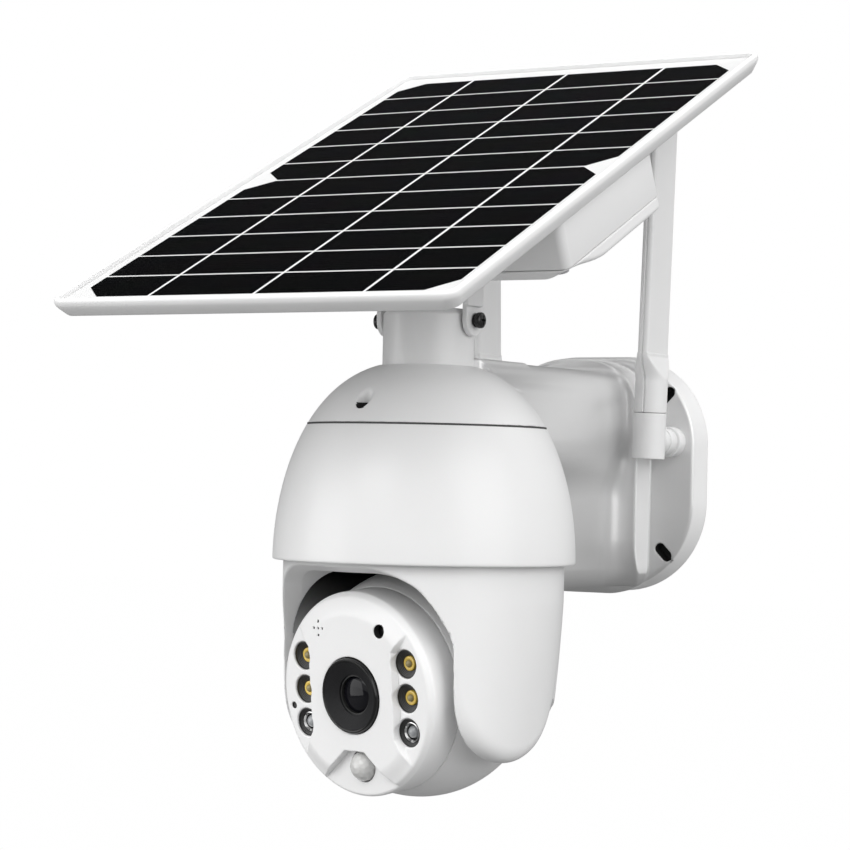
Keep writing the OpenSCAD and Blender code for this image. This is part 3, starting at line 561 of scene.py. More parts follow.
# every carried-over CAD node gets a finished material
def paint_room_shade():
    """Painted shade on the wall round the ball: black under the dome, paler towards the open bottom."""
    m, nt, b = new_mat("room_painted_shade")
    N, L = nt.nodes.new, nt.links.new
    tc = N("ShaderNodeTexCoord")
    sep = N("ShaderNodeSeparateXYZ")
    L(tc.outputs["Object"], sep.inputs[0])
    # painted shade fades from black high up to pale grey lower down
    mr = N("ShaderNodeMapRange")
    mr.inputs["From Min"].default_value = float((DOME[2] - 63) * MM)
    mr.inputs["From Max"].default_value = float((DOME[2] - 43) * MM)
    L(sep.outputs["Z"], mr.inputs["Value"])
    ns = N("ShaderNodeTexNoise")
    ns.inputs["Scale"].default_value = 900
    L(tc.outputs["Object"], ns.inputs["Vector"])
    rp = N("ShaderNodeValToRGB")
    rp.color_ramp.elements[0].color = (0.45, 0.45, 0.45, 1)
    rp.color_ramp.elements[1].color = (0.012, 0.012, 0.012, 1)
    L(mr.outputs["Result"], rp.inputs["Fac"])
    mix = N("ShaderNodeMixRGB")
    mix.blend_type = "MULTIPLY"
    mix.inputs["Fac"].default_value = 0.15
    L(rp.outputs["Color"], mix.inputs["Color1"])
    L(ns.outputs["Color"], mix.inputs["Color2"])
    L(mix.outputs["Color"], b.inputs["Base Color"])
    b.inputs["Roughness"].default_value = 0.8
    return m


ROOM_SHADE = paint_room_shade()

CAD_LOOK = {
    "bracket_back_cover": INNER, "cap_screw": STEEL, "arm_screws": STEEL, "seam_seal": RUBBER, "neck_grommet": RUBBER,
    "hinge_washers": BSTEEL, "housing_floor": INNER, "pan_bearing": BRASS, "pan_motor": STEEL, "pan_pinion": GEAR, "speaker": BLACK,
    # the pan top plate carries painted shade, black where the dome's inside lies in shadow
    "main_board": BOARD, "radio_module": STEEL, "pan_top_plate": PAINTED_SHADE, "pan_gear": GEAR, "pan_retainer": STEEL,
    "tilt_gear_shaft": GEAR, "tilt_stub_shaft": GEAR, "tilt_bushes": BRASS, "tilt_motor": STEEL, "tilt_pinion": GEAR,
    "lens_barrel": BLACK, "image_sensor_board": BOARD, "led_board": WBOARD, "motion_sensor": STEEL, "microphone": BLACK,
    "light_sensor": BLACKG, "status_led": BLACK, "panel_backsheet": SHEET, "battery_cells": WRAP, "battery_cradle": BLACK,
    "charge_board": BOARD, "cover_screws": STEEL, "cell_ribbons": RIBBON, "panel_glass": GLASS_COVER, "solar_cells": SILICON,
}
for n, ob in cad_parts.items():
    ob.data.materials.clear()
    ob.data.materials.append(CAD_LOOK.get(n, WHITE))


def stand_for(obj, slot, *nodes):
    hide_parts(*nodes)
    return obj


# ------------------------------------------------------------------ dome
def dome_rad(z):
    t = np.clip((z + 36) / 77.0, 0, 0.9999)
    return 58 * (1 - t ** 1.98) ** (1 / 2.6)


def dome_line(z0, z1, d, n):
    z = np.linspace(z0, z1, n + 1)
    return np.c_[dome_rad(z) - d, z]


# shroud: outside from the rim up to the seam, a small groove lip, then inside and down
out = dome_line(-35.2, 15.4, 0, 64)
ins = dome_line(-35.6, 15.6, 2.5, 40)[::-1]
prof = np.concatenate([
    [[55.7, -36.0], [57.2, -36.0], [57.7, -35.86], [57.93, -35.55]], out,
    [[dome_rad(15.4) - 0.12, 15.55], [dome_rad(15.4) - 0.45, 15.62]],
    ins, [[55.35, -35.86], [55.7, -36.0]]])
V, F = lathe(prof, 224)
shroud = make("shroud_shell", V, F, "bracket", WHITE, O=DOME, angle=30)
# floor ledge inside the shroud
V, F = lathe([[50.2, -23.5], [55.2, -23.5], [55.2, -20.1], [50.2, -20.1], [50.2, -23.5]], 128)
ledge = make("shroud_ledge", V, F, "bracket", WHITE, O=DOME)
stand_for(shroud, "white_plastic", "housing_shroud")


def cap_f(x, y, z):
    r = ln(x, y)
    zz = np.clip(z, 10, 39.6)
    R = dome_rad(zz)
    dz = 0.05
    sl = (dome_rad(np.minimum(zz + dz, 40.2)) - dome_rad(zz - dz)) / (2 * dz)
    g = np.sqrt(1 + sl * sl)
    d_out = (r - R) / g
    d_in = (r - R) / g + 2.6
    # bottom edge at the seam, top edge round the neck
    b = 16.05 - z
    s = smax(smax(d_out, b, 0.5), -d_in, 0.3)
    top = z - 39.3
    s = smax(s, top, 0.8)
    s = smax(s, 17.68 - r, 0.3)
    # screw hole, straight down, with a softened edge
    hx = ln(x + 4, y + 38.6)
    well = ext(hx - 5.2, np.abs(z - 20) - 7, 0.5)
    well = np.maximum(well, d_out + 0.3)
    s = np.minimum(s, well)
    hole = np.maximum(hx - 3.1, 17.5 - z)
    s = smax(s, -hole, 0.9)
    return s


# faces down inside the cap's screw hole take painted shade
def in_well(c):
    d = np.hypot(c[:, 0] + 4, c[:, 1] + 38.6)
    return (d < 3.2) & (c[:, 2] < dome_surf_z - 2.2 + 0 * d)


dome_surf_z = 26.0
cap = solid("cap_shell", cap_f, (-48, -48, 12), (48, 48, 41), 0.75, "bracket", [WHITE, PAINTED_SHADE], O=DOME, pick=in_well)
stand_for(cap, "white_plastic", "housing_cap")

# neck tube with a chamfered top, a foot fillet and a hollow end for the wires
prof = soften([[6.0, 60.8], [15.4, 60.8], [17.6, 58.6], [17.6, 36.0], [14.6, 36.0], [14.6, 48.9], [6.0, 49.0], [6.0, 60.8]],
              [0, 0.8, 0.6, 0, 0, 0, 0, 0])
V, F = lathe(prof, 160)
neck = make("neck_shell", V, F, "bracket", WHITE, O=DOME, angle=40)
stand_for(neck, "white_plastic", "neck_tube")

# seam line: a dark recessed thread between cap and shroud
V, F = lathe([[44.2, 15.4], [45.9, 15.4], [45.9, 16.3], [44.2, 16.3], [44.2, 15.4]], 192)
seal = make("seam_thread", V, F, "bracket", RUBBER, O=DOME)
stand_for(seal, "seal_rubber", "seam_seal")

# ------------------------------------------------------------------ wall bracket
def spline(pts, n):
    p = np.array(pts, float)
    q = np.vstack([2 * p[0] - p[1], p, 2 * p[-1] - p[-2]])
    d = np.r_[0, np.cumsum(np.linalg.norm(np.diff(p, axis=0), axis=1))]
    out_ = []
    for t in np.linspace(0, d[-1], n):
        i = min(np.searchsorted(d, t, side="right") - 1, len(p) - 2)
        u = (t - d[i]) / (d[i + 1] - d[i])
        a, b, c, e = q[i], q[i + 1], q[i + 2], q[i + 3]
        out_.append(0.5 * (2 * b + (c - a) * u + (2 * a - 5 * b + 4 * c - e) * u * u + (3 * b - a - 3 * c + e) * u ** 3))
    return np.array(out_)


WAIST = spline([[12, 42.3], [17.5, 41.3], [21.2, 38.8], [23.2, 33.8], [24, 26], [23.9, 17], [22.9, 9], [19.5, 1.5], [13, -2.5], [8, -4]], 56)
TIP = spline([[12, 42.0], [16.2, 41.1], [19.4, 39.2], [22.5, 36.7], [26.8, 34.4], [31.3, 31.6], [35.8, 27.0], [39.3, 22.0], [42.3, 16.3], [43.2, 11], [42.2, 5], [37, -1], [28, -6]], 56)


def bracket_f(x, y, z):
    ax = np.abs(x)
    # wall plate, a little smaller at its front face
    d2 = rr2(x, z, 50, 50, 38) + 1.4 * np.clip(-y / 12.5, 0, 1)
    plate = ext(d2, np.abs(y + 6.25) - 6.25, 1.3)
    # root flange: arch outline, front edge rolls back to the plate at the bottom
    up = rr2(x, z - 3.3, 28.7, 43.9, 24)
    low = rr2(x, z + 13, 28.7, 35, 9)
    d2 = np.minimum(up, low)
    zb = np.clip((-27 - z) / 20.5, 0, 0.999)
    yf = -25 + 13.5 * (1 - np.sqrt(1 - zb * zb))
    fl = ext(d2, np.maximum(yf - y, y + 2), 0.9)
    # upper arm, a loft from the waist to the dome
    t = np.clip((-38 - y) / 102.0, 0, 1.0) ** 1.12
    pts = [(0 * t, 42.3 - 0.3 * t)]
    for a, b in zip(WAIST, TIP):
        pts.append((a[0] + (b[0] - a[0]) * t, a[1] + (b[1] - a[1]) * t))
    pts.append((0 * t, -4.0 - 2 * t))
    arm = poly2(ax, z, pts, closed=False)
    arm = smax(arm, np.maximum(-143.5 + 7.5 * sstep((z - 33) / 5) - y, y + 8), 0.6)
    # lower rib
    w = 18.5 + 1.0 * np.clip((-y - 38) / 40, 0, 1)
    rib = ext(rr2(x, z + 20, w, 28.5, 9.0), np.maximum(-100.0 - y, y + 8), 3)
    body = smin(arm, rib, 9)
    # concave sweep into the flange
    s = smin(body, fl, 6.0 + 5.0 * sstep((14 - z) / 26))
    s = smin(s, plate, 1.2)
    # flat saddle behind the neck
    r = ln(x, y + 148.1)
    sad = ext(rr2(x, y + 121.5, 16.2, 21.5, 1), np.abs(z - 36.9) - 5.0, 0.8)
    s = smin(s, sad, 3)
    # dome and neck leave room
    zz = np.clip(z, -36.05, 39.3)
    R = dome_rad(zz)
    sl = (dome_rad(np.minimum(zz + 0.05, 40.0)) - dome_rad(np.maximum(zz - 0.05, -36))) / 0.1
    # the arm's edge lies in the shell, so the line where they meet is clean
    dome = (r - R + 1.3) / np.sqrt(1 + sl * sl)
    dome = np.maximum(dome, np.maximum(z - 38.8, -36.2 - z))
    s = np.maximum(s, -dome)
    s = np.maximum(s, 17.0 - r)
    # back hollow for the cover
    s = np.maximum(s, -ext(rr2(x, z, 45.85, 45.85, 33.9), y * -1 - 2.1, 0.1))
    # screw slots
    for sx in (-1, 1):
        for sz in (-1, 1):
            u = ((x - sx * 35.6) + (z - sz * 32.8) * sx * sz) * 0.70711
            v = (-(x - sx * 35.6) * sx * sz + (z - sz * 32.8)) * 0.70711
            sl2 = np.maximum(rr2(u, v, 4.4, 2.3, 2.299), 0.5 - np.abs(y + 6))
            s = smax(s, -sl2, 0.55)
    return s


# faces inside the screw slots take painted shade
def in_slot(c):
    m = np.zeros(len(c), bool)
    for sx in (-1, 1):
        for sz in (-1, 1):
            u = ((c[:, 0] - sx * 35.6) + (c[:, 2] - sz * 32.8) * sx * sz) * 0.70711
            v = (-(c[:, 0] - sx * 35.6) * sx * sz + (c[:, 2] - sz * 32.8)) * 0.70711
            m |= (rr2(u, v, 4.4, 2.3, 2.299) < 0.35) & (c[:, 1] > -11.7) & (c[:, 1] < -2.4)
    return m


bracket = solid("bracket_shell", bracket_f, (-51.5, -146, -51.5), (51.5, 1.5, 51.5), 0.8, "bracket", [ARM, PAINTED_SHADE], pick=in_slot)
stand_for(bracket, "bracket_plastic", "wall_bracket")

# ------------------------------------------------------------------ pan housing
def yoke_rad(y, z):
    # the head narrows a little downwards, more so at the back
    d = np.maximum(-50 - z, 0)
    return 53.8 - (0.045 * d + 0.0007 * d * d) * sstep((y + 28) / 40)


def arch_d(x, z):
    up = rr2(x, z + 39.5 + 60, 43.7, 60, 29)
    lowr = rr2(x, z + 39.5 + 100, 43.7, 71, 0.1)
    return np.minimum(up, lowr)


def pan_f(x, y, z):
    r = ln(x, y)
    R = yoke_rad(y, z)
    # cheeks end in a wide round lobe; the rear wall between them ends higher up
    side = np.where(z > -75.7, np.abs(y + 1.7) - 33.35, ln(y + 1.7, z + 75.7) - 33.35)
    side = side - 30 * sstep((z + 75.7) / 14)
    rear = np.maximum(np.maximum(3 - y, np.abs(x) - 45), -87.5 - z - 6 * (1 - sstep((np.abs(x) - 30) / 12)))
    # the cheeks' edges are broad and round, the rear wall's foot is tight
    edge = 1.2 + 5.3 * np.maximum(sstep((np.abs(x) - 40) / 4), 1 - sstep((y - 2) / 6))
    body = smax(r - R, smin(side, rear, 7.0), edge)
    body = smax(body, z + 31.6, 0.4)
    # inside: flat cheeks, thick wall in front, thin wall behind
    room = np.maximum(np.maximum(np.maximum(r - np.minimum(50.6, R - 2.5), -26.2 - y), np.abs(x) - 43.7), z + 34.5)
    s = smax(body, -room, 0.35)
    # front arch with a soft chamfer that fades out towards the cheeks
    c = 2.2 * (1 - sstep((np.abs(x) - 33) / 9)) * (1 - sstep((-52 - z) / 12))
    g = np.clip((r - 46.5) / 7.3, 0, 1.2)
    a = (arch_d(x, z) - c * g) / np.sqrt(1 + (c / 7.3) ** 2)
    cut = np.maximum(a, y + 0.0)
    s = smax(s, -cut, 0.9)
    # open below the rear wall
    s = smax(s, -np.maximum(np.abs(x) - 43.7, z + 86 + 0.02 * (np.abs(x)) ** 1.5), 0.5)
    # bores for the two shafts
    s = np.maximum(s, -np.maximum(ln(y, z + 81.5) - 5, np.abs(x) - 48))
    # speaker grille at the back
    for i in range(-2, 3):
        for k in range(-2, 3):
            s = np.maximum(s, -np.maximum(ln(x - i * 3.2, z + 62 - k * 3.2) - 0.8, 30 - y))
    return s


def in_room(c):
    """The inner walls round the ball carry painted shade."""
    r = np.hypot(c[:, 0], c[:, 1])
    foot = -84.4 - 0.02 * np.abs(c[:, 0]) ** 1.5
    return (r < 50.95) & (c[:, 1] > -26.7) & (np.abs(c[:, 0]) < 43.95) & ((c[:, 2] > foot) | ((c[:, 1] < 2) & (c[:, 2] > -96)))


pan = solid("pan_shell", pan_f, (-55, -55, -115), (55, 55, -30), 0.8, "pan", [WHITE, ROOM_SHADE], R=R_PAN, O=DOME, pick=in_room)
stand_for(pan, "white_plastic", "pan_housing")

# ------------------------------------------------------------------ camera ball
# ball frame: x sideways, -y out of the face, z up
def rear_f(x, y, z):
    s = ln(x, y, z) - 44
    s = smax(s, np.abs(x) - 42.85, 1.0)
    s = smax(s, -(ln(x, y, z) - 41.4), 0.3)
    s = smax(s, -20.85 - y, 0.12)
    s = np.maximum(s, -(ln(y, z) - 7.5))
    return s


rear = solid("ball_back_shell", rear_f, (-45.5, -24, -45.5), (45.5, 45.5, 45.5), 1.0, "ball", WHITE, R=R_BALL, O=O_BALL)
stand_for(rear, "white_plastic", "ball_rear_shell")

LED_X = 26.3
LED_Y = [13.1, 0.4, -12.3]
STEP_L = [(-21.5, -15.1), (-26.5, -23.4), (-36, -39), (36, -39), (26.5, -23.4), (21.2, -15.1), (21.5, 17.3), (28.8, 25.9), (40, 40), (-40, 40), (-28.8, 25.9), (-21.5, 17.3)]


def face_f(x, y, z):
    q = -y
    r = ln(x, z)
    disc = ext(r - 38.6, np.abs(q - 28.5) - 7.75, 1.7)
    raised = poly2(x, z, STEP_L)
    rq = ext(np.maximum(r - 38.0, -4 + 0 * r), np.abs(q - 33) - 5.65, 1.5)
    fade = sstep((38.0 - r) / 8.5)
    lift = (1 - sstep((raised + 0.4) / 1.3)) * fade
    top = 36.25 + 2.4 * lift
    # the raised middle also fades into the rim
    edge = sstep((38.2 - r) / 2.2)
    top = 36.25 - 1.2 * (1 - edge) ** 2 + (top - 36.25) * edge
    s = np.maximum(r - 38.6, 20.92 - q)
    s = smax(s, (q - top) * 0.8, 1.6)
    # fine line at the foot of the step
    s = np.maximum(s, 0.36 - ln(raised - 1.15, (q - 36.25) * 0.75) - 0.6 * sstep((r - 29) / 5))
    # hollow behind
    s = np.maximum(s, -np.maximum(r - 36.1, q - (33.7 + 0.8 * lift)))
    # notch for the motion sensor
    nt = poly2(x, z, [(-5, -21), (5, -21), (19, -33), (26, -46), (-26, -46), (-19, -33)])
    s = smax(s, -np.maximum(nt, 35.0 - q), 0.5)
    # openings
    s = smax(s, -(r - 14.5), 0.4)
    for sx in (-1, 1):
        for ly in LED_Y:
            s = smax(s, -(ln(x - sx * LED_X, z - ly) - 5.4), 0.5)
    s = smax(s, -(ln(x - 1.0, z + 27) - 6.0), 0.4)
    s = smax(s, -(ln(x - 15.8, z - 24.8) - 2.5), 0.4)
    s = smax(s, -(ln(x + 33, z + 6.3) - 1.3), 0.3)
    for a, b in ((0, 0), (0, 2.6), (0, -2.6), (2.2, 0), (-2.2, 0)):
        s = np.maximum(s, -(ln(x + 15.5 - a, z - 24.5 - b) - 0.47))
    return s


def in_hole(c):
    """The small holes' walls, and what shows through them, get painted shade."""
    x, q, z = c[:, 0], -c[:, 1], c[:, 2]
    m = np.hypot(x - 15.8, z - 24.8) < 2.75
    m |= np.hypot(x + 33, z + 6.3) < 1.5
    for a, b in ((0, 0), (0, 2.6), (0, -2.6), (2.2, 0), (-2.2, 0)):
        m |= np.hypot(x + 15.5 - a, z - 24.5 - b) < 0.6
    top = np.where(poly2(x, z, STEP_L) < 0, 38.2, 35.8)
    return m & (q < top)


face = solid("ball_face_shell", face_f, (-39.6, -40.2, -39.6), (39.6, -20.2, 39.6), 0.42, "ball", [FACE, PAINTED_SHADE], R=R_BALL, O=O_BALL, pick=in_hole)
stand_for(face, "white_plastic", "ball_front_cover")


def on_face(part, x, y, q):
    """A lathe about its own z, put on the face at x, y and distance q."""
    V, F = part
    V = np.asarray(V)
    return np.c_[V[:, 0] + x, -(V[:, 2] + q), V[:, 1] + y], F


# lens ring: rounded black rim, then a smooth cone with fine threads
prof = [[11.05, 0], [14.2, 0], [14.2, 5.2], [14.1, 5.9], [13.8, 6.4], [13.4, 6.6], [12.95, 6.5], [12.7, 6.2]]
for k in range(12):
    r0 = 12.7 - k * 0.415
    z0 = 6.2 - k * 0.215
    prof += [[r0 - 0.25, z0 - 0.06], [r0 - 0.30, z0 - 0.16], [r0 - 0.415, z0 - 0.215]]
prof += [[7.6, 3.55], [7.6, 3.0], [11.05, 3.0], [11.05, 0]]
V, F = on_face(lathe(prof, 128), 0, 0, 33.4)
mi = []
Va = np.asarray(V)
for q in F:
    c = Va[q].mean(0)
    rr = math.hypot(c[0], c[2])
    mi.append(1 if rr < 12.75 and -c[1] > 36.0 else 0)
ring_ob = make("lens_rim", V, F, "ball", [BLACKG, CONE], R_BALL, O_BALL, angle=25, matidx=mi)
stand_for(ring_ob, "black_gloss", "lens_ring")

# front lens element: a shallow dome of dark coated glass
prof = [[6.95, 33.0], [6.95, 34.5]] + [[6.95 * math.sin(t), 24.8 + 12 * math.cos(t * 0.617 / 1.5708)] for t in np.linspace(1.5, 0.0, 18)]
prof[-1][0] = 0
V, F = on_face(lathe([[0, 33.0]] + prof, 96), 0, 0, 0)
lens = make("lens_front", V, F, "ball", LENSG, R_BALL, O_BALL, angle=30)
stand_for(lens, "lens_glass", "lens_glass")

# lamp reflectors: shallow dark bowls with fine steps
parts = []
for sx in (-1, 1):
    for ly in LED_Y:
        prof = [[2.9, 0], [5.3, 0], [5.3, 8.3], [5.25, 8.55], [5.05, 8.6]]
        for k in range(5):
            r0, z0 = 5.0 - k * 0.42, 8.2 - k * 0.40
            prof += [[r0, z0], [r0 - 0.08, z0 - 0.26], [r0 - 0.36, z0 - 0.32]]
        prof += [[2.9, 6.1], [2.9, 0]]
        parts.append(on_face(lathe(prof, 64), sx * LED_X, ly, 27))
V, F = join_parts(parts)
refl = make("lamp_bowls", V, F, "ball", BOWL, R_BALL, O_BALL, angle=20)
stand_for(refl, "black_gloss", "led_reflectors")

# lamps: the upper pairs show a yellow emitter round a small dome, the lower pair is clear
parts = []
for sx in (-1, 1):
    for ly in LED_Y[:2]:
        prof = [[0, 0], [2.7, 0], [2.8, 0.6], [2.8, 6.6], [2.65, 7.0], [2.3, 7.15], [1.7, 7.1], [1.45, 6.95]]
        prof += [[1.4 * math.cos(t), 6.95 + 1.3 * math.sin(t)] for t in np.linspace(0.15, 1.5708, 8)]
        prof[-1][0] = 0
        parts.append(on_face(lathe(prof, 48), sx * LED_X, ly, 27))
V, F = join_parts(parts)
Va = np.asarray(V)
mi = []
for q in F:
    c = Va[q].mean(0)
    d = min(math.hypot(c[0] - sx * LED_X, c[2] - ly) for sx in (-1, 1) for ly in LED_Y[:2])
    mi.append(1 if d < 1.42 and -c[1] > 33.5 else 0)
wl = make("warm_lamps", V, F, "ball", [YELLOW, CORE], R_BALL, O_BALL, angle=30, matidx=mi)
stand_for(wl, "warm_led", "white_leds")
parts = []
for sx in (-1, 1):
    prof = [[0, 0], [2.6, 0], [2.85, 0.4], [2.85, 1.0], [2.45, 1.2], [2.45, 5.9]]
    prof += [[2.45 * math.cos(t), 5.9 + 2.3 * math.sin(t)] for t in np.linspace(0.1, 1.5708, 10)]
    prof[-1][0] = 0
    parts.append(on_face(lathe(prof, 48), sx * LED_X, LED_Y[2], 27))
    parts.append(on_face(lathe([[3.0, 6.3], [3.5, 7.2], [3.75, 7.6], [3.45, 7.7], [2.9, 6.9], [3.0, 6.3]], 48), sx * LED_X, LED_Y[2], 27))
V, F = join_parts(parts)
Va = np.asarray(V)
mi = []
for q in F:
    c = Va[q].mean(0)
    d = min(math.hypot(c[0] - sx * LED_X, c[2] - LED_Y[2]) for sx in (-1, 1))
    mi.append(1 if d > 2.88 else 0)
il = make("clear_lamps", V, F, "ball", [CLEAR_LED, CHROME], R_BALL, O_BALL, angle=30, matidx=mi)
stand_for(il, "clear_led", "infrared_leds")

# motion sensor lens: a dome pressed with flat facets
rows = []
V = []
F = []
nf = 12
levels = [(5.9, 0.0, 0), (5.9, 1.2, 0)] + [(5.9 * math.cos(math.radians(a)), 1.2 + 5.9 * math.sin(math.radians(a)), k % 2) for k, a in enumerate((14, 32, 50, 68))]
idx = []
for r0, z0, off in levels:
    idx.append(len(V))
    for j in range(nf):
        a = 2 * math.pi * (j + 0.5 * off) / nf
        V.append([r0 * math.cos(a), r0 * math.sin(a), z0])
V.append([0, 0, 7.05])
for i in range(len(levels) - 1):
    A, B = idx[i], idx[i + 1]
    oa, ob_ = levels[i][2], levels[i + 1][2]
    for j in range(nf):
        j1 = (j + 1) % nf
        if oa == ob_:
            F.append([A + j, A + j1, B + j1, B + j])
        elif ob_ > oa:
            F.append([A + j, A + j1, B + j])
            F.append([A + j1, B + j1, B + j])
        else:
            F.append([A + j, B + j1, B + j])
            F.append([A + j, A + j1, B + j1])
top = idx[-1]
for j in range(nf):
    F.append([top + j, top + (j + 1) % nf, len(V) - 1])
F.append(list(range(nf))[::-1])
V, F = on_face((np.array(V), F), 1.0, -27, 32.6)
pir = make("sensor_dome", V, F, "ball", FROST, R_BALL, O_BALL, angle=4)
stand_for(pir, "frosted_lens", "motion_lens")

# ------------------------------------------------------------------ solar panel
PV = 20.5
CH = 53.8


def pr(hx, hy, r, z, n=8):
    p = ring(hx, hy, r, n)
    return np.c_[p[:, 0], p[:, 1] + PV, np.full(len(p), z)]


hx, hy = 84.5, 134.4
path = [  # half width, half length, corner radius, height
    (77.3, 127.2, 4, 49.85), (77.3, 127.2, 4, 48.1), (77.6, 127.5, 4, 47.65), (78.1, 128.0, 4.2, 47.5), (81.0, 130.9, 4.5, 47.5), (81.8, 131.7, 4.8, 47.65),
    (82.2, 132.1, 5, 48.1), (83.9, 133.8, 5.2, 51.0), (84.35, 134.25, 5.2, 52.0), (84.5, 134.4, 5.2, 52.6), (84.5, 134.4, 5.2, 53.6), (84.4, 134.3, 5.2, 54.2),
    (84.1, 134.0, 5.0, 54.6), (83.6, 133.5, 4.6, 54.85), (83.2, 133.1, 4.4, 54.95), (82.9, 132.8, 4.2, 54.9), (82.7, 132.6, 4.0, 54.75), (82.6, 132.5, 4.0, 54.45),
    (82.6, 132.5, 4.0, 52.35)]
V, F = loft([pr(a, b, c, z, 10) for a, b, c, z in path], cap0=True, cap1=True)
pf = make("panel_rim", V, F, "panel", FRAME, R_PANEL, O_PIVOT, angle=40)
stand_for(pf, "panel_plastic", "panel_frame")

# cover glass, just under the rim's top
V, F = loft([pr(82.5, 132.4, 3.9, 53.5, 10), pr(82.5, 132.4, 3.9, 54.3, 10), pr(82.4, 132.3, 3.8, 54.38, 10)])
pg = make("panel_cover", V, F, "panel", GLASS_COVER, R_PANEL, O_PIVOT, angle=30)
stand_for(pg, "cover_glass", "panel_glass")

# cells: twelve strips in two blocks with cut corners, thin enough for the white sheet to show between them
cv, cf = [], []
for i in range(12):
    j = i % 6
    c = 9.4
    a, b = (c if j == 0 else 0), (c if j == 5 else 0)
    y0, y1 = -106.6 + 21 * i + 0.62, -106.6 + 21 * (i + 1) - 0.62
    out_ = [(-78 + a, y0), (78 - a, y0), (78, y0 + a), (78, y1 - b), (78 - b, y1), (-78 + b, y1), (-78, y1 - b), (-78, y0 + a)]
    out_ = [q for k, q in enumerate(out_) if q != out_[k - 1]]
    n0 = len(cv)
    m = len(out_)
    cv += [(q[0], q[1], CH - 0.89) for q in out_] + [(q[0], q[1], CH - 0.82) for q in out_]
    cf.append(list(range(n0 + m - 1, n0 - 1, -1)))
    cf.append(list(range(n0 + m, n0 + 2 * m)))
    cf += [[n0 + k, n0 + (k + 1) % m, n0 + m + (k + 1) % m, n0 + m + k] for k in range(m)]
cells = make("cell_strips", cv, cf, "panel", SILICON, R_PANEL, O_PIVOT, angle=20)
stand_for(cells, "cell_silicon", "solar_cells")
# ribbons: flat tinned strips over the cells
parts = []
for x0 in (-45.2, 0, 45.2):
    pts = [(-0.55, 0), (0.55, 0), (0.55, 0.05), (0.42, 0.09), (-0.42, 0.09), (-0.55, 0.05)]
    parts.append(loft([np.array([(x0 + a, yy, CH - 0.82 + b) for a, b in pts]) for yy in (-107.4, 146.2)]))
V, F = join_parts(parts)
rb = make("ribbon_strips", V, F, "panel", RIBBON, R_PANEL, O_PIVOT, angle=20)
stand_for(rb, "ribbon", "cell_ribbons")

# battery box: soft vertical edges, flange at the top, seam at the bottom
BC = 18.0


def br(hw, hl, r, z, n=10):
    p = ring(hw, hl, r, n)
    return np.c_[p[:, 0], p[:, 1] + BC, np.full(len(p), z)]


rings = [br(76.4, 39.9, 2.8, 27.75), br(76.85, 40.35, 3.1, 27.85), br(77.0, 40.5, 3.2, 28.2), br(77.0, 40.5, 3.2, 45.0), br(77.05, 40.55, 3.2, 49.2), br(77.1, 40.6, 3.2, 49.9)]
V, F = loft(rings)
bb = make("battery_box_shell", V, F, "panel", FRAME, R_PANEL, O_PIVOT, angle=35)
stand_for(bb, "panel_plastic", "battery_box")


def cover_f(x, y, z):
    d2 = rr2(x, y - BC, 77, 40.5, 3.2)
    s1 = sstep((9 - y) / 31)
    s2 = sstep((np.abs(x) - 66) / 11)
    low = 22.05 + 1.7 * s1 + 3.2 * s1 * s2 + 0.0 * z
    s = smax(d2, low - z, 2.2)
    s = smax(s, z - 27.45, 0.5)
    # seat for the hinge bracket, and the cover's screw holes
    s = smax(s, -np.maximum(rr2(x, y - 10, 16, 12, 1), z - 22.15), 0.3)
    for sx in (-1, 1):
        for sy in (-1, 1):
            s = smax(s, -np.maximum(ln(x - sx * 70.5, y - BC - sy * 34) - 3.2, z - (26.3 if sy < 0 else 24.2)), 0.4)
    return s


bc = solid("battery_cover_shell", cover_f, (-78.5, -24.5, 20), (78.5, 60.5, 29.5), 0.8, "panel", FRAME, R_PANEL, O_PIVOT)
stand_for(bc, "panel_plastic", "battery_cover")


def hinge_f(x, y, z):
    # panel frame; the ears hang upright at the usual slope
    ax = np.abs(x)
    ca, sa = math.cos(PANEL), math.sin(PANEL)
    u, w = y * ca - z * sa, y * sa + z * ca
    ear = ext(np.where(w > 0, np.abs(u) - 6, ln(u, w) - 6), np.abs(ax - 19.1) - 1.1, 0.4)
    blk = ext(rr2(u + 2, w - 17.2, 6, 12, 0.9), np.abs(ax - 20.6) - 1.1, 0.5)
    s = smin(ear, blk, 0.5)
    base = ext(rr2(x, y - 10, 20.2, 12, 2), np.abs(z - 20.58) - 1.38, 0.5)
    s = smin(s, base, 1.0)
    s = np.maximum(s, z - 21.94)
    s = np.maximum(s, -(ln(y, z) - 2.1))
    return s


hb = solid("hinge_bracket_shell", hinge_f, (-23.5, -11.5, -8.5), (23.5, 23.5, 23.5), 0.45, "panel", FRAME, R_PANEL, O_PIVOT)
stand_for(hb, "panel_plastic", "hinge_bracket")

# hinge screws: domed heads with a cross recess
parts = []
for s in (-1, 1):
    def sc_f(x, y, z):
        r = ln(y, z)
        u = x
        head = np.maximum(r - 3.05, -u)
        head = smax(head, ln(u + 3.2, y, z) - 5.6, 0.4)
        cr = np.minimum(np.maximum(np.abs(y) - 0.38, np.abs(z) - 1.75), np.maximum(np.abs(z) - 0.38, np.abs(y) - 1.75))
        head = np.maximum(head, -np.maximum(cr, 1.1 - u))
        sh = np.maximum(r - 1.95, np.maximum(u - 0.2, -13.2 - u))
        return np.minimum(head, sh)
    v, q, nn = nets(sc_f, (-13.8, -3.6, -3.6), (3, 3.6, 3.6), 0.22)
    v = v * [s, 1, 1] + [s * 21.9, 0, 0]
    if s < 0:
        q = q[:, ::-1]
    parts.append((v, q))
V, F = join_parts(parts)
hs = make("hinge_screw_pair", V, F, "bracket", BSTEEL, EYE, O_PIVOT, angle=35)
stand_for(hs, "black_steel", "hinge_screws")
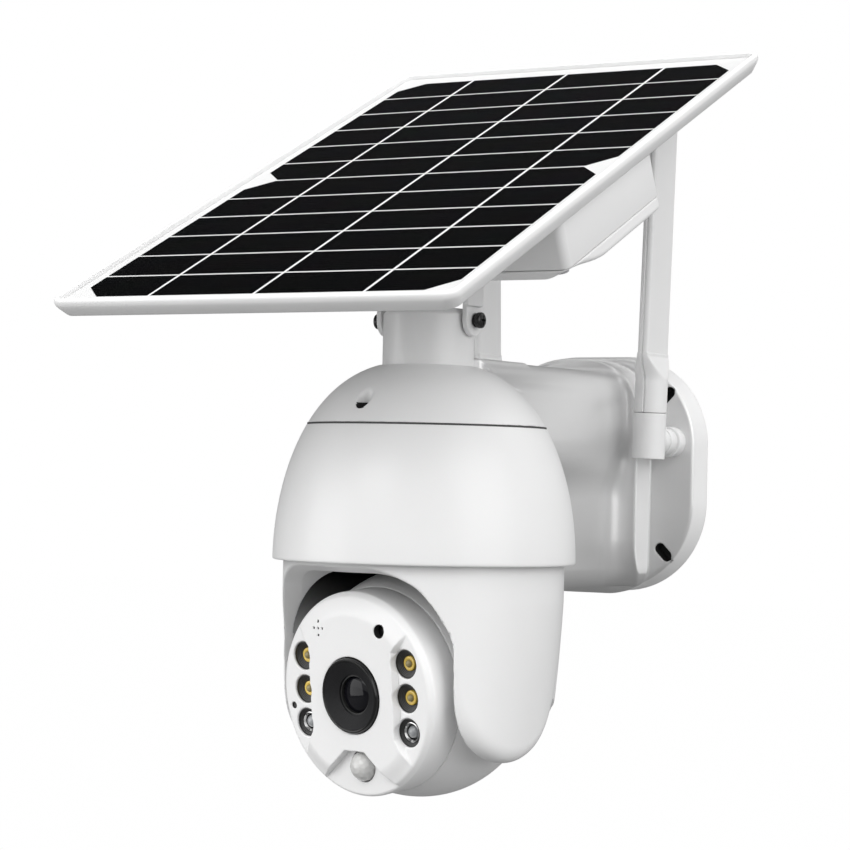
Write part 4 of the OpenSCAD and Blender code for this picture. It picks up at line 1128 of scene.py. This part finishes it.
# washers with rounded rims
parts = []
for s in (-1, 1):
    v, f = lathe([[2.0, 0.02], [2.55, 0.0], [2.75, 0.15], [2.75, 0.55], [2.45, 0.7], [2.75, 0.85], [2.75, 1.25], [2.55, 1.38], [2.05, 1.38], [2.0, 0.02]], 64, axis="x")
    v = v * [s, 1, 1] + [s * 20.5, 0, 0]
    parts.append((v, [list(reversed(q)) for q in f] if s < 0 else f))
V, F = join_parts(parts)
hw = make("hinge_washer_pair", V, F, "bracket", BSTEEL, EYE, O_PIVOT, angle=35)
stand_for(hw, "black_steel", "hinge_washers")

# ------------------------------------------------------------------ antennas
parts = []
for s in (-1, 1):
    prof = soften([[0, 10], [3.2, 10], [3.2, 12.45], [6.4, 12.45], [6.4, 17.6], [4.6, 17.75], [4.6, 18.9], [5.8, 18.9], [5.8, 24.5], [2.5, 24.5], [2.5, 37.8], [0, 37.8]],
                  [0, 0, 0, 0.3, 0.7, 0.2, 0.2, 0.6, 0.6, 0, 0.5, 0])
    v, f = lathe(prof, 96, axis="-y")
    parts.append((v + [s * 38.7, 0, 13.5], f))
V, F = join_parts(parts)
ac = make("antenna_stubs", V, F, "bracket", ANT, angle=35)
stand_for(ac, "antenna_plastic", "antenna_connectors")


def knuckle_f(x, y, z):
    s = ext(ln(x, y) - 6.7, np.abs(z - 1.95) - 9.45, 0.35)
    s = smin(s, ext(ln(x, z) - 5.6, np.abs(y - 4.6) - 4.6, 0.4), 0.8)
    s = np.maximum(s, -np.maximum(ln(x, z) - 2.6, -4.2 - y))
    return s


def blade_f(x, y, z):
    # z from the joint line up: a round stem, cut flat by two slopes into a broad blade
    t = np.clip((z - 25.5) / 9.2, 0, 1)
    xc = 6.85 - 4.25 * t
    yh = 6.7 + 3.5 * sstep((z - 24.5) / 11)
    col = rr2(x, y, 6.7, yh, 6.699)
    s = smax(col, (np.abs(x) - xc) * 0.89, 0.5)
    s = np.where(z > 36, smax(s, rr2(x, y, 2.6, 10.2, 2.0), 0.4), s)
    s = smax(s, 11.52 - z, 0.25)
    s = smax(s, z - 132.4, 1.6)
    # fine groove up both narrow edges
    g = np.maximum(np.abs(x) - 0.36, np.maximum(yh - 0.5 - np.abs(y), np.maximum(11.8 - z, z - 127)))
    s = smax(s, -g, 0.15)
    return s


for s, side in ((1, "right"), (-1, "left")):
    R = rot("Y", s * LEAN)
    O = (s * 38.7, -34.2, 13.5)
    k = solid(side + "_antenna_base", knuckle_f, (-8, -8, -8.5), (8, 10.5, 14), 0.42, side + "_antenna", ANT, R, O)
    stand_for(k, "antenna_plastic", side + "_antenna_knuckle")
    b = solid(side + "_antenna_paddle", blade_f, (-8, -11, 10.6), (8, 11, 134), 0.42, side + "_antenna", ANT, R, O)
    stand_for(b, "antenna_plastic", side + "_antenna_blade")

# ------------------------------------------------------------------ camera
az, el, roll = math.radians(30.949), math.radians(-1.194), math.radians(1.277)
fwd = np.array([-math.sin(az) * math.cos(el), math.cos(az) * math.cos(el), -math.sin(el)])
right = np.array([math.cos(az), math.sin(az), 0])
upv = np.cross(right, fwd)
r2 = right * math.cos(roll) + upv * math.sin(roll)
u2 = -right * math.sin(roll) + upv * math.cos(roll)
cam = bpy.data.cameras.new("view")
cam.lens = 114.05
cam.sensor_width = 36
cam.clip_start = 0.05
cam.clip_end = 60
cam_ob = bpy.data.objects.new("view", cam)
M = Matrix.Identity(4)
for i in range(3):
    M[i][0], M[i][1], M[i][2] = r2[i], u2[i], -fwd[i]
M[0][3], M[1][3], M[2][3] = 0.53037, -1.03397, -0.00518
cam_ob.matrix_world = M
bpy.context.scene.collection.objects.link(cam_ob)
bpy.context.scene.camera = cam_ob

# ------------------------------------------------------------------ stage and light
fm, fnt, fb = new_mat("pale_floor")
tc = fnt.nodes.new("ShaderNodeTexCoord")
ns = fnt.nodes.new("ShaderNodeTexNoise")
ns.inputs["Scale"].default_value = 3
rp = fnt.nodes.new("ShaderNodeValToRGB")
rp.color_ramp.elements[0].color = (0.2, 0.2, 0.2, 1)
rp.color_ramp.elements[1].color = (0.23, 0.23, 0.23, 1)
fnt.links.new(tc.outputs["Object"], ns.inputs["Vector"])
fnt.links.new(ns.outputs["Fac"], rp.inputs["Fac"])
fnt.links.new(rp.outputs["Color"], fb.inputs["Base Color"])
fem = fnt.nodes.new("ShaderNodeEmission")
fem.inputs["Strength"].default_value = 0.998
fmx = fnt.nodes.new("ShaderNodeMixShader")
flp = fnt.nodes.new("ShaderNodeLightPath")
fnt.links.new(flp.outputs["Is Camera Ray"], fmx.inputs[0])
fnt.links.new(fb.outputs[0], fmx.inputs[1])
fnt.links.new(fem.outputs[0], fmx.inputs[2])
fnt.links.new(fmx.outputs[0], fnt.nodes["Material Output"].inputs[0])
fb.inputs["Roughness"].default_value = 0.8
me = bpy.data.meshes.new("floor")
me.from_pydata([(-12, -12, -0.62), (12, -12, -0.62), (12, 12, -0.62), (-12, 12, -0.62)], [], [(0, 1, 2, 3)])
me.materials.append(fm)
floor = bpy.data.objects.new("floor", me)
bpy.context.scene.collection.objects.link(floor)

world = bpy.data.worlds.new("studio")
bpy.context.scene.world = world
world.use_nodes = True
wn, wl_ = world.node_tree.nodes, world.node_tree.links
bg = wn["Background"]
bg.inputs["Color"].default_value = (1, 1, 1, 1)
tcw = wn.new("ShaderNodeTexCoord")


def toward(direction, lo, hi, gain):
    """Light that grows towards one side of the studio."""
    d = wn.new("ShaderNodeVectorMath")
    d.operation = "DOT_PRODUCT"
    wl_.new(tcw.outputs["Generated"], d.inputs[0])
    d.inputs[1].default_value = Vector(direction).normalized()
    m = wn.new("ShaderNodeMapRange")
    m.interpolation_type = "SMOOTHSTEP"
    m.inputs["From Min"].default_value = lo
    m.inputs["From Max"].default_value = hi
    m.inputs["To Min"].default_value = 0.0
    m.inputs["To Max"].default_value = gain
    wl_.new(d.outputs["Value"], m.inputs["Value"])
    return m.outputs["Result"]


def plus(a, b):
    m = wn.new("ShaderNodeMath")
    m.operation = "ADD"
    wl_.new(a, m.inputs[0])
    if isinstance(b, float):
        m.inputs[1].default_value = b
    else:
        wl_.new(b, m.inputs[1])
    return m.outputs[0]


level = plus(toward((0.1, -1.0, 0.65), -0.05, 0.9, 0.88), 0.11)
level = plus(level, toward((0.0, -0.2, 1.0), 0.1, 0.95, 0.40))
level = plus(level, toward((0.5, 0.86, 0.15), 0.72, 1.0, 0.55))
level = plus(level, toward((1.0, -0.1, 0.1), 0.3, 1.0, 0.30))
wl_.new(level, bg.inputs["Strength"])
bg2 = wn.new("ShaderNodeBackground")
bg2.inputs["Color"].default_value = (1, 1, 1, 1)
bg2.inputs["Strength"].default_value = 1.0
lp = wn.new("ShaderNodeLightPath")
mx = wn.new("ShaderNodeMixShader")
wl_.new(lp.outputs["Is Camera Ray"], mx.inputs[0])
wl_.new(bg.outputs[0], mx.inputs[1])
wl_.new(bg2.outputs[0], mx.inputs[2])
wl_.new(mx.outputs[0], wn["World Output"].inputs["Surface"])


def area(name, loc, target, size, power, size_y=None):
    li = bpy.data.lights.new(name, "AREA")
    li.shape = "RECTANGLE"
    li.size = size
    li.size_y = size_y or size
    li.energy = power
    ob = bpy.data.objects.new(name, li)
    ob.location = loc
    d = Vector(target) - Vector(loc)
    ob.rotation_euler = d.to_track_quat("-Z", "Y").to_euler()
    bpy.context.scene.collection.objects.link(ob)
    return ob


area("key", (1.8, -0.5, 0.6), (0, -0.12, 0), 1.5, 16)
area("front", (-0.35, -1.9, 1.25), (0, -0.12, 0), 1.0, 8)
area("left", (-1.35, -1.35, 0.05), (0, -0.12, -0.05), 1.2, 9.5)
area("top", (0.1, -0.3, 1.6), (0, -0.12, 0), 1.0, 4)
area("rear", (1.2, 1.0, 1.6), (0, -0.12, 0), 1.0, 3)

vs = bpy.context.scene.view_settings
vs.view_transform = "Standard"
vs.look = "None"
vs.exposure = 0
vs.gamma = 1

bpy.context.view_layer.update()
